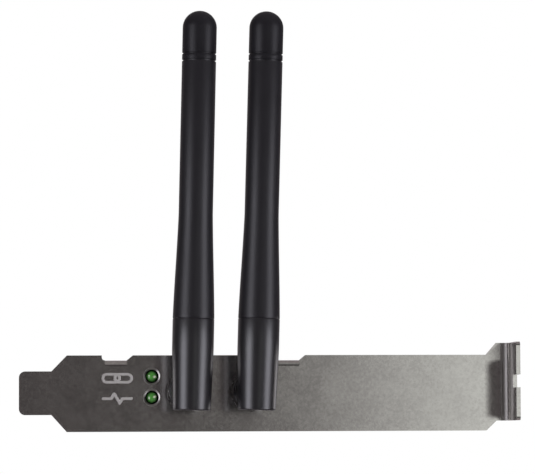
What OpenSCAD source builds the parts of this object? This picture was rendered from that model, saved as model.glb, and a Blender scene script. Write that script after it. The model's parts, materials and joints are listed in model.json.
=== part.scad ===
// Wireless network card on a full-height slot bracket, with two antennas that swivel and tilt.
// Origin on the inner face of the screw tab, at the middle of its screw slot.
// X runs along the strip towards the screw tab, Y into the computer, Z up as the card is mounted.

/* [Bracket] */
// Length from the tip of the tongue to the outer face of the screw tab
bracket_len = 120.02; // [116:0.01:140]
// Width of the strip
strip_w = 18.42; // [17.8:0.01:20]
// Thickness of the sheet steel
sheet = 1; // [0.7:0.05:1.2]
// Length of the narrow tongue
tongue_len = 7.8; // [4:0.1:8.5]
// Width of the tongue
tongue_w = 10.5; // [8:0.1:12]
// Height of the tongue above the lower edge of the strip
tongue_rise = 4.1; // [2:0.1:5.5]
// Length over which the tongue widens to the strip
neck_run = 3.7; // [2:0.1:4.5]
// Corner radius of the tongue's tip
tongue_corner = 1.5; // [0.5:0.1:3]
// Distance from the screw seat to the start of the shoulders
shoulder_at = 5.55; // [5.2:0.05:7]
// Length of the slanted shoulders
shoulder_run = 2.5; // [1:0.1:3]
// Width of the screw tab
tab_w = 18.9; // [16:0.05:20]
// Height of the tab's lower edge above the strip's lower edge
tab_rise = 2.4; // [1.5:0.05:4]
// Reach of the screw tab in front of the strip
tab_len = 11.43; // [9:0.01:14]
// Inner bend radius of the screw tab
tab_bend = 1.5; // [0.5:0.1:2]
// Corner radius of the tab's free edge
tab_corner = 1; // [0.3:0.1:2.5]
// Width of the screw slot
slot_w = 3.1; // [2.8:0.1:4.5]
// Depth of the screw slot from the free edge
slot_len = 5; // [3:0.1:5.5]
// Distance of the origin behind the strip's outer face, counted outwards
seat_out = 4; // [3:0.1:5]

/* [Ears] */
// Distance from the screw seat to the middle of the lower ear
ear_low_at = 95.7; // [95:0.1:97]
// Distance from the screw seat to the middle of the upper ear
ear_high_at = 53.9; // [50:0.1:54.5]
// Width of an ear
ear_w = 5.3; // [5:0.1:6]
// Reach of an ear behind the strip's outer face
ear_len = 9.8; // [9.4:0.1:13]
// Depth of the relief notch in the strip's upper edge
notch_depth = 1.2; // [0.8:0.05:1.6]
// Rounding at the tongue end of a relief notch
notch_round = 0.75; // [0.3:0.05:0.8]
// Run of the slope at the tab end of a relief notch
notch_slope = 1.45; // [0.5:0.05:2]
// Inner bend radius of an ear
ear_bend = 0.6; // [0.3:0.05:0.9]
// Distance of the board screws behind the strip's outer face
screw_in = 6.2; // [5.8:0.1:6.6]
// Shank diameter of the board screws
screw_d = 2.9; // [2.5:0.05:3]
// Head diameter of the board screws
screw_head_d = 5.6; // [4.5:0.1:6]
// Head height of the board screws
screw_head_h = 1.8; // [1.2:0.1:2.4]

/* [Lamps] */
// Distance from the screw seat to the lamps
lamp_at = 87; // [86:0.1:88]
// Distance from the strip's upper edge to the upper lamp
lamp_drop = 5.07; // [4.9:0.01:5.4]
// Distance between the two lamps
lamp_pitch = 5.08; // [4.6:0.01:6]
// Diameter of a lamp
lamp_d = 3; // [2.6:0.1:3.1]
// Length of a lamp from its dome to its flange
lamp_len = 5.3; // [4.8:0.1:5.6]
// How far a lamp's dome stands in front of the strip
lamp_out = 0.4; // [0:0.05:0.8]
// Width of the edge chamfer around a lamp hole
lamp_chamfer = 0.3; // [0.1:0.05:0.4]
// Depth of the edge chamfer around a lamp hole
lamp_chamfer_h = 0.15; // [0.05:0.05:0.4]

/* [Board] */
// Thickness of the circuit board
board_th = 1.6; // [1.2:0.1:1.6]
// Gap between the strip and the board
board_gap = 1; // [0.95:0.05:1.2]
// Distance from the screw seat to the board's edge on the contact side
board_low = 98.9; // [98.8:0.1:100]
// Distance from the screw seat to the board's far edge
board_high = 43; // [38:0.1:46]
// Reach of the board behind the strip
board_len = 84; // [80:0.5:110]
// Height of the contact edge beyond the board's edge
edge_h = 8.2; // [7:0.1:9]
// Distance of the key notch behind the strip's outer face
key_in = 58; // [50:0.5:62]
// Width of the key notch
key_w = 1.9; // [1.5:0.1:2.1]
// Spacing of the edge contacts
contact_pitch = 1; // [0.9:0.05:1.1]
// Width of an edge contact
contact_w = 0.7; // [0.5:0.05:0.75]
// Length of an edge contact
contact_len = 4.4; // [3:0.1:5]
// Thickness of an edge contact
contact_th = 0.06; // [0.04:0.01:0.1]

/* [Jacks] */
// Distance from the lamps to the left jack
lamp_to_jack = 8.28; // [7.2:0.01:8.8]
// Distance between the two jacks
jack_pitch = 15.42; // [15.2:0.01:16.6]
// Distance from the strip's upper edge to the jack axis
jack_drop = 8.72; // [8.5:0.01:9.2]
// Outer diameter of a jack's thread
thread_d = 6.35; // [6:0.05:6.6]
// Reach of a jack in front of the strip
jack_out = 7.6; // [7:0.1:8]
// Width of a jack's block
block_w = 8; // [7.6:0.1:8.6]
// Length of a jack's block
block_len = 7; // [6.6:0.1:8.5]
// Spacing of a jack's four posts
post_pitch = 5.08; // [4.6:0.01:5.3]
// Diameter of a jack's posts
post_d = 1; // [0.7:0.1:1.2]
// Diameter of a jack's insulator
insulator_d = 4.1; // [3.6:0.1:4.2]
// Diameter of a jack's centre pin
centre_pin_d = 0.9; // [0.7:0.05:1]
// Width of a jack nut across its flats
nut_af = 8; // [7.8:0.1:8.4]
// Height of a jack nut
nut_h = 2; // [1.6:0.1:2.2]
// Outer diameter of a jack washer
washer_d = 9.4; // [8.8:0.1:10]
// Thickness of a jack washer
washer_h = 0.6; // [0.4:0.05:0.7]

/* [Antenna base] */
// Distance of the tilt hinge in front of the strip
hinge_out = 20; // [19.7:0.1:22]
// Outer diameter of the coupling collar
collar_d = 9.4; // [9:0.1:10]
// Length of the coupling collar
collar_len = 7; // [6.8:0.05:7.1]
// Number of grip flutes around the collar
flute_count = 18; // [8:1:24]
// Depth of a grip flute
flute_depth = 0.25; // [0.1:0.05:0.4]
// Diameter of the plug's neck
neck_d = 4.4; // [4:0.05:4.6]
// Diameter of the plug's flange inside the collar
flange_d = 6; // [5.6:0.05:6.1]
// Diameter of the plug's head inside the knuckle
head_d = 5.2; // [5:0.05:5.6]
// Diameter of the knuckle's disc
disc_d = 8.8; // [8.2:0.1:9.4]
// Length of the knuckle's disc
disc_len = 2.9; // [2.7:0.1:3]
// Thickness of the knuckle's tongue
tongue_th = 4; // [3.6:0.1:4.4]
// Radius of the knuckle's rounded end
knuckle_r = 3.2; // [3:0.05:3.3]
// Height of the knuckle's arm
arm_h = 5.2; // [4.6:0.1:5.4]
// Diameter of the hinge pins
hinge_pin_d = 2; // [1.6:0.1:2.2]

/* [Whips] */
// Lean of the left whip from upright
lean_left = 1.4; // [-1:0.1:1.6]
// Lean of the right whip from upright
lean_right = 1.7; // [1.3:0.1:4]
// Length of a whip
whip_len = 94.7; // [80:0.1:110]
// Height of the hinge above a whip's lower end
hinge_up = 4.8; // [4.6:0.05:5]
// Diameter of a whip at its lower end
foot_d = 9.08; // [8.6:0.02:9.4]
// Diameter of the hinge housing at the seam
housing_d = 9.84; // [9.5:0.02:10]
// Height of the hinge housing
housing_h = 21.6; // [20:0.1:26]
// Height over which the hinge housing widens from its lower end
housing_taper = 14.4; // [10:0.1:18]
// Diameter of the whip above its flare
whip_d = 8.1; // [7.8:0.02:8.4]
// Height at which the flare ends
flare_end = 46.5; // [40:0.5:56]
// Bore of the whip sleeve
sleeve_bore = 5.4; // [5.2:0.1:5.6]
// Length of the tip cap
cap_len = 11.9; // [8:0.1:14]
// Distance from the cap's seam to its ring groove
groove_rise = 1.65; // [1:0.05:3]
// Width of the grooves at the cap
groove_w = 0.4; // [0.2:0.05:0.6]
// Depth of the grooves at the cap
groove_depth = 0.25; // [0.1:0.05:0.4]
// Diameter of the coax in a whip
coax_d = 1.13; // [0.9:0.01:1.2]
// Outer diameter of the dipole tube
dipole_d = 5; // [4.6:0.1:5.1]
// Length of the dipole tube
dipole_len = 26; // [20:0.5:28]
// Height of the dipole tube's lower end
dipole_rise = 29; // [28:0.5:30]
// Length of the radiator wire above the dipole tube
radiator_len = 22; // [10:0.5:24]

/* [Board parts] */
// Length of the shield along the strip
shield_w = 33; // [30:0.5:36]
// Depth of the shield into the computer
shield_len = 28; // [26:0.5:30]
// Height of the shield cover over the board
shield_h = 2.3; // [2:0.1:3]
// Thickness of the shield's sheet
shield_sheet = 0.25; // [0.2:0.05:0.3]
// Distance of the shield's middle behind the strip's outer face
shield_in = 34; // [32:0.5:35]
// Width of the radio chip
chip_w = 10; // [8:0.5:12]
// Height of the radio chip
chip_h = 0.9; // [0.6:0.05:1.2]
// Width of an amplifier chip
amplifier_w = 3; // [2:0.5:4]
// Length of a small ceramic part
small_len = 1.6; // [1:0.1:1.8]
// Spacing of small ceramic parts
small_pitch = 2.2; // [1.2:0.1:2.4]
// Number of capacitors in the row beside the contact edge
row_count = 6; // [2:1:7]
// Distance of the shield's middle from the middle between the ears, towards the tab
shield_side = 3.7; // [2:0.1:5]
// Distance of the power parts behind the shield
power_in = 15; // [13:0.5:17]
// Distance between neighbouring power parts
power_pitch = 9; // [8:0.5:10]
// Distance of the contacts from the edge that enters the connector
contact_inset = 1.6; // [1.5:0.1:2]
// Distance of the small parts from the board's edges and from the shield
small_inset = 2.4; // [2:0.1:3]
// Distance of the crystal from the shield's middle, towards the contacts
crystal_side = 9; // [8.5:0.1:10]
// Distance of the crystal behind the shield's middle
crystal_back = 5; // [3:0.1:6]
// Length of the crystal
crystal_w = 3.2; // [2:0.1:3.4]
// Depth of the crystal
crystal_len = 2.5; // [1.6:0.1:2.6]
// Length of the regulator's body
regulator_w = 6.5; // [6:0.1:6.8]
// Depth of the regulator's body
regulator_len = 3.5; // [3.2:0.1:3.8]
// Height of the memory chip and the regulator
power_h = 1.6; // [1.4:0.1:1.8]
// Width of the power inductor
inductor_w = 5; // [4:0.1:5.4]
// Height of the power inductor
inductor_h = 2.8; // [2:0.1:2.9]
// Length of the memory chip's body
memory_w = 4.9; // [4.7:0.1:5]
// Depth of the memory chip's body
memory_len = 3.9; // [3.8:0.1:4]
// Length of a bulk capacitor
bulk_w = 3.5; // [3:0.1:4]
// Depth of a bulk capacitor
bulk_len = 2.8; // [2:0.1:3]
// Height of a bulk capacitor
bulk_h = 1.9; // [1.4:0.1:2.1]

/* [Hidden] */
$fn = 64;

// Clearances
run_gap = 0.05;   // radial play of whatever turns
seat_gap = 0.3;   // play of what is only held near its place
hole_gap = 0.15;  // radial play of leads, posts and screws in their holes
cut = 0.5;        // how far a cutting shape runs past the face that it cuts

// Strip: its outer face looks towards -Y
face_y = seat_out;
rear_y = face_y + sheet;
strip_low = -(tab_rise + tab_w / 2);
strip_top = strip_low + strip_w;
tongue_tip = -(bracket_len - sheet);
tongue_low = strip_low + tongue_rise;

// Ears and board: the ears rest on the board's solder side, its parts hang below
ear_top = strip_top - notch_depth;
solder_z = ear_top - sheet;
part_z = solder_z - board_th;
board_front = rear_y + board_gap;
board_back = rear_y + board_gap + board_len;
screw_y = face_y + screw_in;
screw_places = [-ear_low_at, -ear_high_at];
screw_tip_drop = 0.1;

// Lamps and jacks along the strip
lamp_x = -lamp_at;
jack_left_at = lamp_at - lamp_to_jack;
jack_right_at = jack_left_at - jack_pitch;
upper_lamp_z = strip_top - lamp_drop;
lower_lamp_z = upper_lamp_z - lamp_pitch;
lamp_flange_w = 0.4;
lamp_flange_len = 0.9;
lamp_front = face_y - lamp_out;
lamp_back = lamp_front + lamp_len;
lead_d = 0.5;
lead_pitch = 2.54;
upper_lead_y = lamp_back + 1.7;
lower_lead_y = upper_lead_y + 2.6;
lead_out = 0.8;
holder_wall = 0.8;
holder_w = lamp_d + 2 * holder_wall;
holder_back = lamp_back + 0.1;
cheek_w = 0.5;
cheek_len = 3;
recess_w = holder_w + 2 * seat_gap;
recess_back = holder_back + seat_gap;

// Jacks: distances along the axis are counted outwards from the strip's outer face
jack_z = strip_top - jack_drop;
jack_top = part_z - jack_z;
jack_plane = jack_out - 2;
socket_d = 4.6;
block_mid = -(sheet + block_len / 2);
post_out = 0.9;
stem_d = 3;
thread_hole_d = thread_d + 2 * hole_gap;
nut_start = washer_h;
nut_end = nut_start + nut_h;
washer_teeth = 12;
washer_bore = thread_d + 2 * run_gap;
nut_chamfer = 0.3;

// Plug and collar, along the same axis
collar_start = nut_end + seat_gap;
collar_end = collar_start + collar_len;
ferrule_d = socket_d - 2 * run_gap;
ferrule_bore = 3.6;
flange_start = jack_out + 0.2;
flange_len = 0.9;
lip_start = flange_start + flange_len + run_gap;
contact_d = 1.4;
contact_socket = 2.4;
plug_insulator_neck = 2.4;
disc_start = collar_end + seat_gap;
disc_end = disc_start + disc_len;
head_start = disc_start + 1;
head_len = 0.8;
head_end = head_start + head_len;
feed_start = head_end + 0.4;
feed_end = hinge_out - 2.6;

// Tilt hinge
fork_gap = 0.15;
fork_half = tongue_th / 2 + fork_gap;
pocket_r = knuckle_r + 0.25;
arm_half = arm_h / 2;
pin_inner = 1;
cable_half = 0.7;
pin_recess = 0.15;

// Whip: heights are counted from the tilt hinge
foot_z = -hinge_up;
seam_z = housing_h - hinge_up;
taper_z = housing_taper - hinge_up;
flare_z = flare_end - hinge_up;
tip_z = whip_len - hinge_up;
cap_z = tip_z - cap_len;
foot_round = 0.4;
spigot_d = 7.2;
spigot_len = 3.5;
housing_bore_z = 8;
coax_gap = 0.4;
cap_spigot = 3;
dipole_wall = 0.4;
dipole_z = dipole_rise - hinge_up;
dipole_top = dipole_z + dipole_len;
pin_outer = foot_d / 2 + (housing_d - foot_d) / 2 * hinge_up / housing_taper - pin_recess;
edge_break = 0.12;

// Board parts, placed from the middle of the shield
shield_x = -(ear_low_at + ear_high_at) / 2 + shield_side;
shield_y = face_y + shield_in;
before_shield = shield_y - shield_len / 2;
behind_shield = shield_y + shield_len / 2;
small_w = 0.8;
small_h = 0.8;
resistor_h = 0.45;
key_y = face_y + key_in;
edge_low = -(board_low + edge_h);
contacts_before = 11;
contacts_after = 7;
edge_margin = 0.65;
edge_start = key_y - (contacts_before + 0.5) * contact_pitch - edge_margin;
edge_end = key_y + (contacts_after + 0.5) * contact_pitch + edge_margin;

// Colours
steel = [0.66, 0.65, 0.63];
plated = [0.80, 0.79, 0.76];
gold = [0.85, 0.68, 0.32];
black = [0.13, 0.13, 0.15];
chip_black = [0.10, 0.10, 0.11];
ptfe = [0.93, 0.92, 0.88];
board_green = [0.05, 0.33, 0.17];
lamp_green = [0.30, 0.72, 0.38];
ceramic_tan = [0.66, 0.55, 0.42];

// A rod along an axis, from one place to another
module rod_x(d, x0, x1) translate([x0, 0, 0]) rotate([0, 90, 0]) cylinder(d = d, h = x1 - x0);
module rod_y(d, y0, y1) translate([0, y0, 0]) rotate([-90, 0, 0]) cylinder(d = d, h = y1 - y0);
module rod_z(d, z0, z1) translate([0, 0, z0]) cylinder(d = d, h = z1 - z0);

// A box given by its two corners
module block(low, high) translate(low) cube(high - low);

// Places its children on a jack's axis: their Z points outwards from the strip's outer face, their Y up
module on_jack(at) translate([-at, face_y, jack_z]) rotate([90, 0, 0]) children();

// Places its children at a tilt hinge, leaning with the whip
module on_hinge(at, lean) translate([-at, face_y - hinge_out, jack_z]) rotate([0, lean, 0]) children();

// Extrudes an outline drawn in X and Z along Y, from one place to another
module plate_y(y0, y1) translate([0, y1, 0]) rotate([90, 0, 0]) linear_extrude(height = y1 - y0) children();

// Extrudes an outline drawn in Y and Z along X, from one place to another
module plate_x(x0, x1) translate([x0, 0, 0]) rotate([90, 0, 90]) linear_extrude(height = x1 - x0) children();

// A quarter of a bent sheet, drawn around the bend's own axis
module bend(r_in, from, width) translate([0, 0, -width / 2])
  rotate_extrude(angle = 90, start = from) translate([r_in, 0]) square([sheet, width]);

// Outline of the strip with its tongue and shoulders, seen from the front
module strip_outline() {
  neck_end = tongue_tip + tongue_len + neck_run;
  shoulder_end = -(shoulder_at - shoulder_run);
  tab_low = strip_low + tab_rise;
  polygon([
    [tongue_tip + tongue_len, tongue_low], [neck_end, strip_low], [-shoulder_at, strip_low],
    [shoulder_end, tab_low], [-tab_bend, tab_low], [-tab_bend, tab_low + tab_w],
    [shoulder_end, tab_low + tab_w], [-shoulder_at, strip_top], [neck_end, strip_top],
    [tongue_tip + tongue_len, tongue_low + tongue_w]
  ]);
  translate([tongue_tip + tongue_corner, tongue_low])
    square([tongue_len - tongue_corner, tongue_w]);
  translate([tongue_tip, tongue_low + tongue_corner])
    square([tongue_len, tongue_w - 2 * tongue_corner]);
  for (z = [tongue_low + tongue_corner, tongue_low + tongue_w - tongue_corner])
    translate([tongue_tip + tongue_corner, z]) circle(r = tongue_corner);
}

// Relief notch in the strip's upper edge, deeper where the ear's bend begins
module ear_notch() {
  translate([-ear_w / 2, -sheet - ear_bend - notch_depth]) square([ear_w, sheet + ear_bend + notch_depth + cut]);
  polygon([[ear_w / 2 - cut, 0], [ear_w / 2 - cut, -notch_depth], [ear_w / 2, -notch_depth],
           [ear_w / 2 + notch_slope, 0], [ear_w / 2 + notch_slope, cut], [ear_w / 2 - cut, cut]]);
  intersection() {
    translate([-ear_w / 2 - notch_round, -notch_depth]) square([notch_round + cut, notch_depth + cut]);
    union() {
      translate([-ear_w / 2, notch_round - notch_depth]) circle(r = notch_round);
      translate([-ear_w / 2 - notch_round, notch_round - notch_depth]) square([notch_round + cut, notch_depth + cut]);
    }
  }
}

// One ear: the bend and the flap that lies on the board
module ear() {
  bend_y = rear_y + ear_bend;
  bend_z = solder_z - ear_bend;
  translate([0, bend_y, bend_z]) rotate([90, 0, 90]) bend(ear_bend, 90, ear_w);
  difference() {
    union() {
      block([-ear_w / 2, bend_y, solder_z], [ear_w / 2, face_y + ear_len - ear_w / 2, ear_top]);
      translate([0, face_y + ear_len - ear_w / 2, 0]) rod_z(ear_w, solder_z, ear_top);
    }
    translate([0, screw_y, 0]) rod_z(screw_d + 2 * run_gap, solder_z - cut, ear_top + cut);
  }
}

// The screw tab's outline, seen along the strip
module tab_outline() {
  free_y = face_y - tab_len;
  difference() {
    union() {
      translate([free_y + tab_corner, -tab_w / 2]) square([tab_len - tab_bend - tab_corner, tab_w]);
      translate([free_y, -tab_w / 2 + tab_corner]) square([tab_len - tab_bend, tab_w - 2 * tab_corner]);
      for (z = [-1, 1]) translate([free_y + tab_corner, z * (tab_w / 2 - tab_corner)]) circle(r = tab_corner);
    }
    translate([free_y - cut, -slot_w / 2]) square([slot_len + cut, slot_w]);
  }
}

module bracket() color(steel) {
  difference() {
    plate_y(face_y, rear_y) difference() {
      strip_outline();
      for (x = screw_places) translate([x, strip_top]) ear_notch();
    }
    for (z = [upper_lamp_z, lower_lamp_z]) translate([lamp_x, 0, z]) {
      rod_y(lamp_d + 2 * hole_gap, face_y - cut, rear_y + cut);
      translate([0, face_y, 0]) rotate([-90, 0, 0])
        cylinder(d1 = lamp_d + 2 * hole_gap + 2 * lamp_chamfer, d2 = lamp_d + 2 * hole_gap, h = lamp_chamfer_h);
    }
    for (at = [jack_left_at, jack_right_at])
      translate([-at, 0, jack_z]) rod_y(thread_hole_d, face_y - cut, rear_y + cut);
  }
  translate([-tab_bend, face_y - tab_bend, 0]) bend(tab_bend, 0, tab_w);
  plate_x(0, sheet) tab_outline();
  for (x = screw_places) translate([x, 0, 0]) ear();
}

// Two cross-slotted screws from below, through the board into the ears
module bracket_screws() color(plated) for (x = screw_places) translate([x, screw_y, 0]) {
  head_low = part_z - screw_head_h;
  difference() {
    union() {
      translate([0, 0, head_low]) cylinder(d1 = screw_head_d * 0.8, d2 = screw_head_d, h = screw_head_h / 3);
      rod_z(screw_head_d, head_low + screw_head_h / 3, part_z);
      rod_z(screw_d, part_z, ear_top - screw_tip_drop);
    }
    for (turn = [0, 90]) rotate([0, 0, turn])
      block([-screw_head_d * 0.3, -screw_head_d * 0.07, head_low - cut],
            [screw_head_d * 0.3, screw_head_d * 0.07, head_low + screw_head_h / 2]);
  }
}

// Board outline, seen from above, with the contact edge and the recess for the lamp holder
module board_outline() difference() {
  polygon([
    [-board_low, board_front], [-board_high, board_front], [-board_high, board_back],
    [-board_low, board_back], [-board_low, edge_end], [edge_low, edge_end],
    [edge_low, edge_start], [-board_low, edge_start]
  ]);
  translate([lamp_x - recess_w / 2, board_front - cut])
    square([recess_w, recess_back - board_front + cut]);
  translate([edge_low - cut, key_y - key_w / 2]) square([edge_h - 0.6 + cut, key_w]);
}

// Places its children at each post of both jacks, seen from above
module at_posts() for (at = [jack_left_at, jack_right_at], x = [-1, 1], y = [-1, 1])
  translate([-at + x * post_pitch / 2, face_y - block_mid + y * post_pitch / 2]) children();

// Places its children at the bent end of each lamp lead
module at_leads() for (x = [-1, 1], y = [upper_lead_y, lower_lead_y])
  translate([lamp_x + x * lead_pitch / 2, y]) children();

module circuit_board() color(board_green) difference() {
  translate([0, 0, part_z]) linear_extrude(height = board_th) difference() {
    board_outline();
    for (x = screw_places) translate([x, screw_y]) circle(d = screw_d + 2 * hole_gap);
    at_posts() circle(d = post_d + 2 * hole_gap);
    at_leads() circle(d = lead_d + 2 * hole_gap);
    for (at = [jack_left_at, jack_right_at])
      translate([-at, face_y - block_mid]) circle(d = centre_pin_d + 2 * hole_gap);
  }
  // Bevels that let the contact edge slide into its connector
  for (side = [0, 1]) translate([edge_low, 0, side == 0 ? part_z : solder_z]) mirror([0, 0, side])
    plate_y(edge_start - cut, edge_end + cut) polygon([[-cut, -cut], [1.4, -cut], [1.4, 0], [0, 0.45], [-cut, 0.45]]);
}

// Eighteen contacts on each side of the contact edge
module edge_contacts() color(gold) for (side = [part_z - contact_th, solder_z], i = [-contacts_before : contacts_after])
  if (i != 0) translate([edge_low + contact_inset, key_y + (i + sign(i) / 2) * contact_pitch - contact_w / 2, side])
    cube([contact_len, contact_w, contact_th]);

// Holds both lamps in front of the board and rests its cheeks against the board
module lamp_holder() color(black) translate([lamp_x, 0, 0]) difference() {
  holder_low = lower_lamp_z - holder_w / 2;
  union() {
    block([-holder_w / 2, rear_y + seat_gap, holder_low], [holder_w / 2, holder_back, upper_lamp_z + holder_w / 2]);
    for (side = [0, 1]) mirror([side, 0, 0])
      block([holder_w / 2 - cheek_w, holder_back - cut, holder_low],
            [holder_w / 2, holder_back + cheek_len, part_z]);
  }
  for (z = [upper_lamp_z, lower_lamp_z]) translate([0, 0, z]) {
    rod_y(lamp_d + 2 * run_gap, face_y, lamp_back - lamp_flange_len + run_gap);
    rod_y(lamp_d + 2 * lamp_flange_w + 2 * run_gap, lamp_back - lamp_flange_len - run_gap, holder_back + cut);
  }
}

module lamp(z) color(lamp_green) translate([lamp_x, 0, z]) {
  translate([0, lamp_front + lamp_d / 2, 0]) sphere(d = lamp_d);
  rod_y(lamp_d, lamp_front + lamp_d / 2, lamp_back);
  rod_y(lamp_d + 2 * lamp_flange_w, lamp_back - lamp_flange_len, lamp_back);
}

// Two leads from each lamp, bent up through the board
module lamp_leads() color(plated) for (x = [-1, 1]) translate([lamp_x + x * lead_pitch / 2, 0, 0])
  for (lead = [[upper_lamp_z, upper_lead_y], [lower_lamp_z, lower_lead_y]]) {
    translate([0, 0, lead[0]]) rod_y(lead_d, lamp_back, lead[1] + lead_d / 2);
    translate([0, lead[1], 0]) rod_z(lead_d, lead[0], solder_z + lead_out);
  }

module jack_body(at) color(gold) on_jack(at) difference() {
  union() {
    block([-block_w / 2, -block_w / 2, -sheet - block_len], [block_w / 2, jack_top, -sheet]);
    rod_z(thread_d, -sheet - cut, jack_out);
    for (x = [-1, 1], z = [-1, 1]) translate([x * post_pitch / 2, 0, block_mid + z * post_pitch / 2])
      rod_y(post_d, jack_top - cut, jack_top + board_th + post_out);
  }
  rod_z(socket_d, jack_plane, jack_out + cut);
  rod_z(insulator_d, block_mid - insulator_d / 2, jack_plane + cut);
  translate([0, 0, block_mid]) rod_y(stem_d, 0, jack_top + cut);
}

module jack_insulator(at) color(ptfe) on_jack(at) difference() {
  union() {
    rod_z(insulator_d, block_mid - insulator_d / 2, jack_plane);
    translate([0, 0, block_mid]) rod_y(stem_d, 0, jack_top);
  }
  rod_z(centre_pin_d, block_mid - centre_pin_d / 2, jack_plane + cut);
  translate([0, 0, block_mid]) rod_y(centre_pin_d, 0, jack_top + cut);
}

module jack_pin(at) color(gold) on_jack(at) {
  rod_z(centre_pin_d, block_mid - centre_pin_d / 2, jack_out - run_gap * 4);
  translate([0, 0, block_mid]) rod_y(centre_pin_d, 0, jack_top + board_th + post_out);
}

// Toothed lock washers against the strip
module jack_washers() color(plated) for (at = [jack_left_at, jack_right_at]) on_jack(at)
  linear_extrude(height = washer_h) difference() {
    circle(d = washer_d);
    circle(d = washer_bore);
    for (i = [0 : washer_teeth - 1]) rotate(i * 360 / washer_teeth)
      translate([washer_d / 2 - 0.6, -0.35]) square([1, 0.7]);
  }

// Hexagon with its corners chamfered on both faces
module jack_nuts() color(plated) for (at = [jack_left_at, jack_right_at]) on_jack(at)
  translate([0, 0, nut_start]) difference() {
    intersection() {
      cylinder(d = nut_af / cos(30), h = nut_h, $fn = 6);
      rotate_extrude() polygon([
        [0, 0], [nut_af / 2, 0], [nut_af / cos(30) / 2, nut_chamfer], [nut_af / cos(30) / 2, nut_h - nut_chamfer],
        [nut_af / 2, nut_h], [0, nut_h]
      ]);
    }
    rod_z(washer_bore, -cut, nut_h + cut);
  }

module shield_frame() color(plated) translate([shield_x, shield_y, part_z - shield_h + shield_sheet]) {
  inner = [shield_w - 2 * shield_sheet, shield_len - 2 * shield_sheet];
  rim = 1.4;
  difference() {
    translate([-inner.x / 2, -inner.y / 2, 0]) cube([inner.x, inner.y, shield_h - shield_sheet]);
    translate([-inner.x / 2 + shield_sheet, -inner.y / 2 + shield_sheet, shield_sheet])
      cube([inner.x - 2 * shield_sheet, inner.y - 2 * shield_sheet, shield_h]);
    translate([-inner.x / 2 + rim, -inner.y / 2 + rim, -cut])
      cube([inner.x - 2 * rim, inner.y - 2 * rim, shield_h]);
  }
}

module shield_cover() color(plated) translate([shield_x, shield_y, part_z - shield_h]) difference() {
  skirt_low = 0.4;
  translate([-shield_w / 2, -shield_len / 2, 0]) cube([shield_w, shield_len, shield_h - skirt_low]);
  translate([-shield_w / 2 + shield_sheet, -shield_len / 2 + shield_sheet, shield_sheet])
    cube([shield_w - 2 * shield_sheet, shield_len - 2 * shield_sheet, shield_h]);
}

// A flat part on the board's lower face, given by its middle and its size
module chip(x, y, size) translate([x - size.x / 2, y - size.y / 2, part_z - size.z]) cube(size);

module radio_chip() color(chip_black) chip(shield_x + 2, shield_y + 3, [chip_w, chip_w, chip_h]);

module amplifier_chips() color(chip_black) for (at = [jack_left_at, jack_right_at])
  chip(-at, shield_y - shield_len / 2 + 5, [amplifier_w, amplifier_w, chip_h]);

module crystal() color(plated) chip(shield_x - crystal_side, shield_y + crystal_back, [crystal_w, crystal_len, chip_h - 0.1]);

// Eight-legged memory chip
module memory_chip() color(chip_black) translate([shield_x + power_pitch, behind_shield + power_in, 0]) {
  leg_h = power_h / 2;
  leg_w = 0.4;
  leg_th = 0.2;
  leg_pitch = 1.27;
  foot_len = 0.8;
  difference() {
    chip(0, 0, [memory_w, memory_len, power_h]);
    chip(0, 0, [memory_w + cut, memory_len + cut, leg_th / 2]);
  }
  for (side = [-1, 1], i = [0 : 3]) translate([(i - 1.5) * leg_pitch, 0, 0]) {
    rise_at = memory_len / 2 + leg_w - 0.05;
    chip(0, side * (memory_len / 2 + 0.65), [leg_w, foot_len, leg_th]);
    chip(0, side * rise_at, [leg_w, leg_th, leg_h]);
    translate([0, 0, leg_th - leg_h]) chip(0, side * (rise_at - leg_th), [leg_w, 3 * leg_th, leg_th]);
  }
}

module regulator() color(chip_black) translate([shield_x - 2 * power_pitch, behind_shield + power_in, 0]) {
  lead_len = 1.8;
  lead_th = 0.3;
  lead_at = regulator_len / 2 + lead_len / 2 - 0.05;
  chip(0, 0, [regulator_w, regulator_len, power_h]);
  chip(0, lead_at, [regulator_w / 2 - lead_th + 0.05, lead_len, lead_th]);
  for (i = [-1 : 1]) chip(i * (regulator_w / 3 + 0.13), -lead_at, [0.7, lead_len, lead_th]);
}

module power_inductor() color(chip_black)
  translate([shield_x - power_pitch, behind_shield + power_in, part_z - inductor_h]) linear_extrude(height = inductor_h) {
    half = inductor_w / 2;
    corner = half - 0.7;
    polygon([
      [-half, -corner], [-corner, -half], [corner, -half], [half, -corner], [half, corner], [corner, half],
      [-corner, half], [-half, corner]
    ]);
  }

module bulk_capacitors() color(ceramic_tan) for (i = [0, 1])
  chip(shield_x - (i + 1) * power_pitch, behind_shield + power_in + 6.5, [bulk_w, bulk_len, bulk_h]);

// A row of small parts from a first place, one pitch apart
module small_row(x, y, step, count, height) for (i = [0 : count - 1])
  chip(x + i * step.x, y + i * step.y, [small_len, small_w, height]);

module ceramic_capacitors() color(ceramic_tan) {
  small_row(-board_low + small_inset, edge_start + small_inset, [0, small_pitch], row_count, small_h);
  for (at = [jack_left_at, jack_right_at])
    small_row(-at + small_len + small_w / 2, before_shield - small_inset, [0, -small_pitch], 2, small_h);
  small_row(shield_x - shield_w / 3, behind_shield + small_inset, [small_len * 2, 0], 5, small_h);
}

module resistors() color(chip_black) {
  small_row(shield_x + shield_w / 8, behind_shield + small_inset * 3, [small_len * 2, 0], 4, resistor_h);
  for (at = [jack_left_at, jack_right_at])
    small_row(-at - small_len - small_w / 2, before_shield - small_inset, [0, -small_pitch], 2, resistor_h);
}

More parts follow.
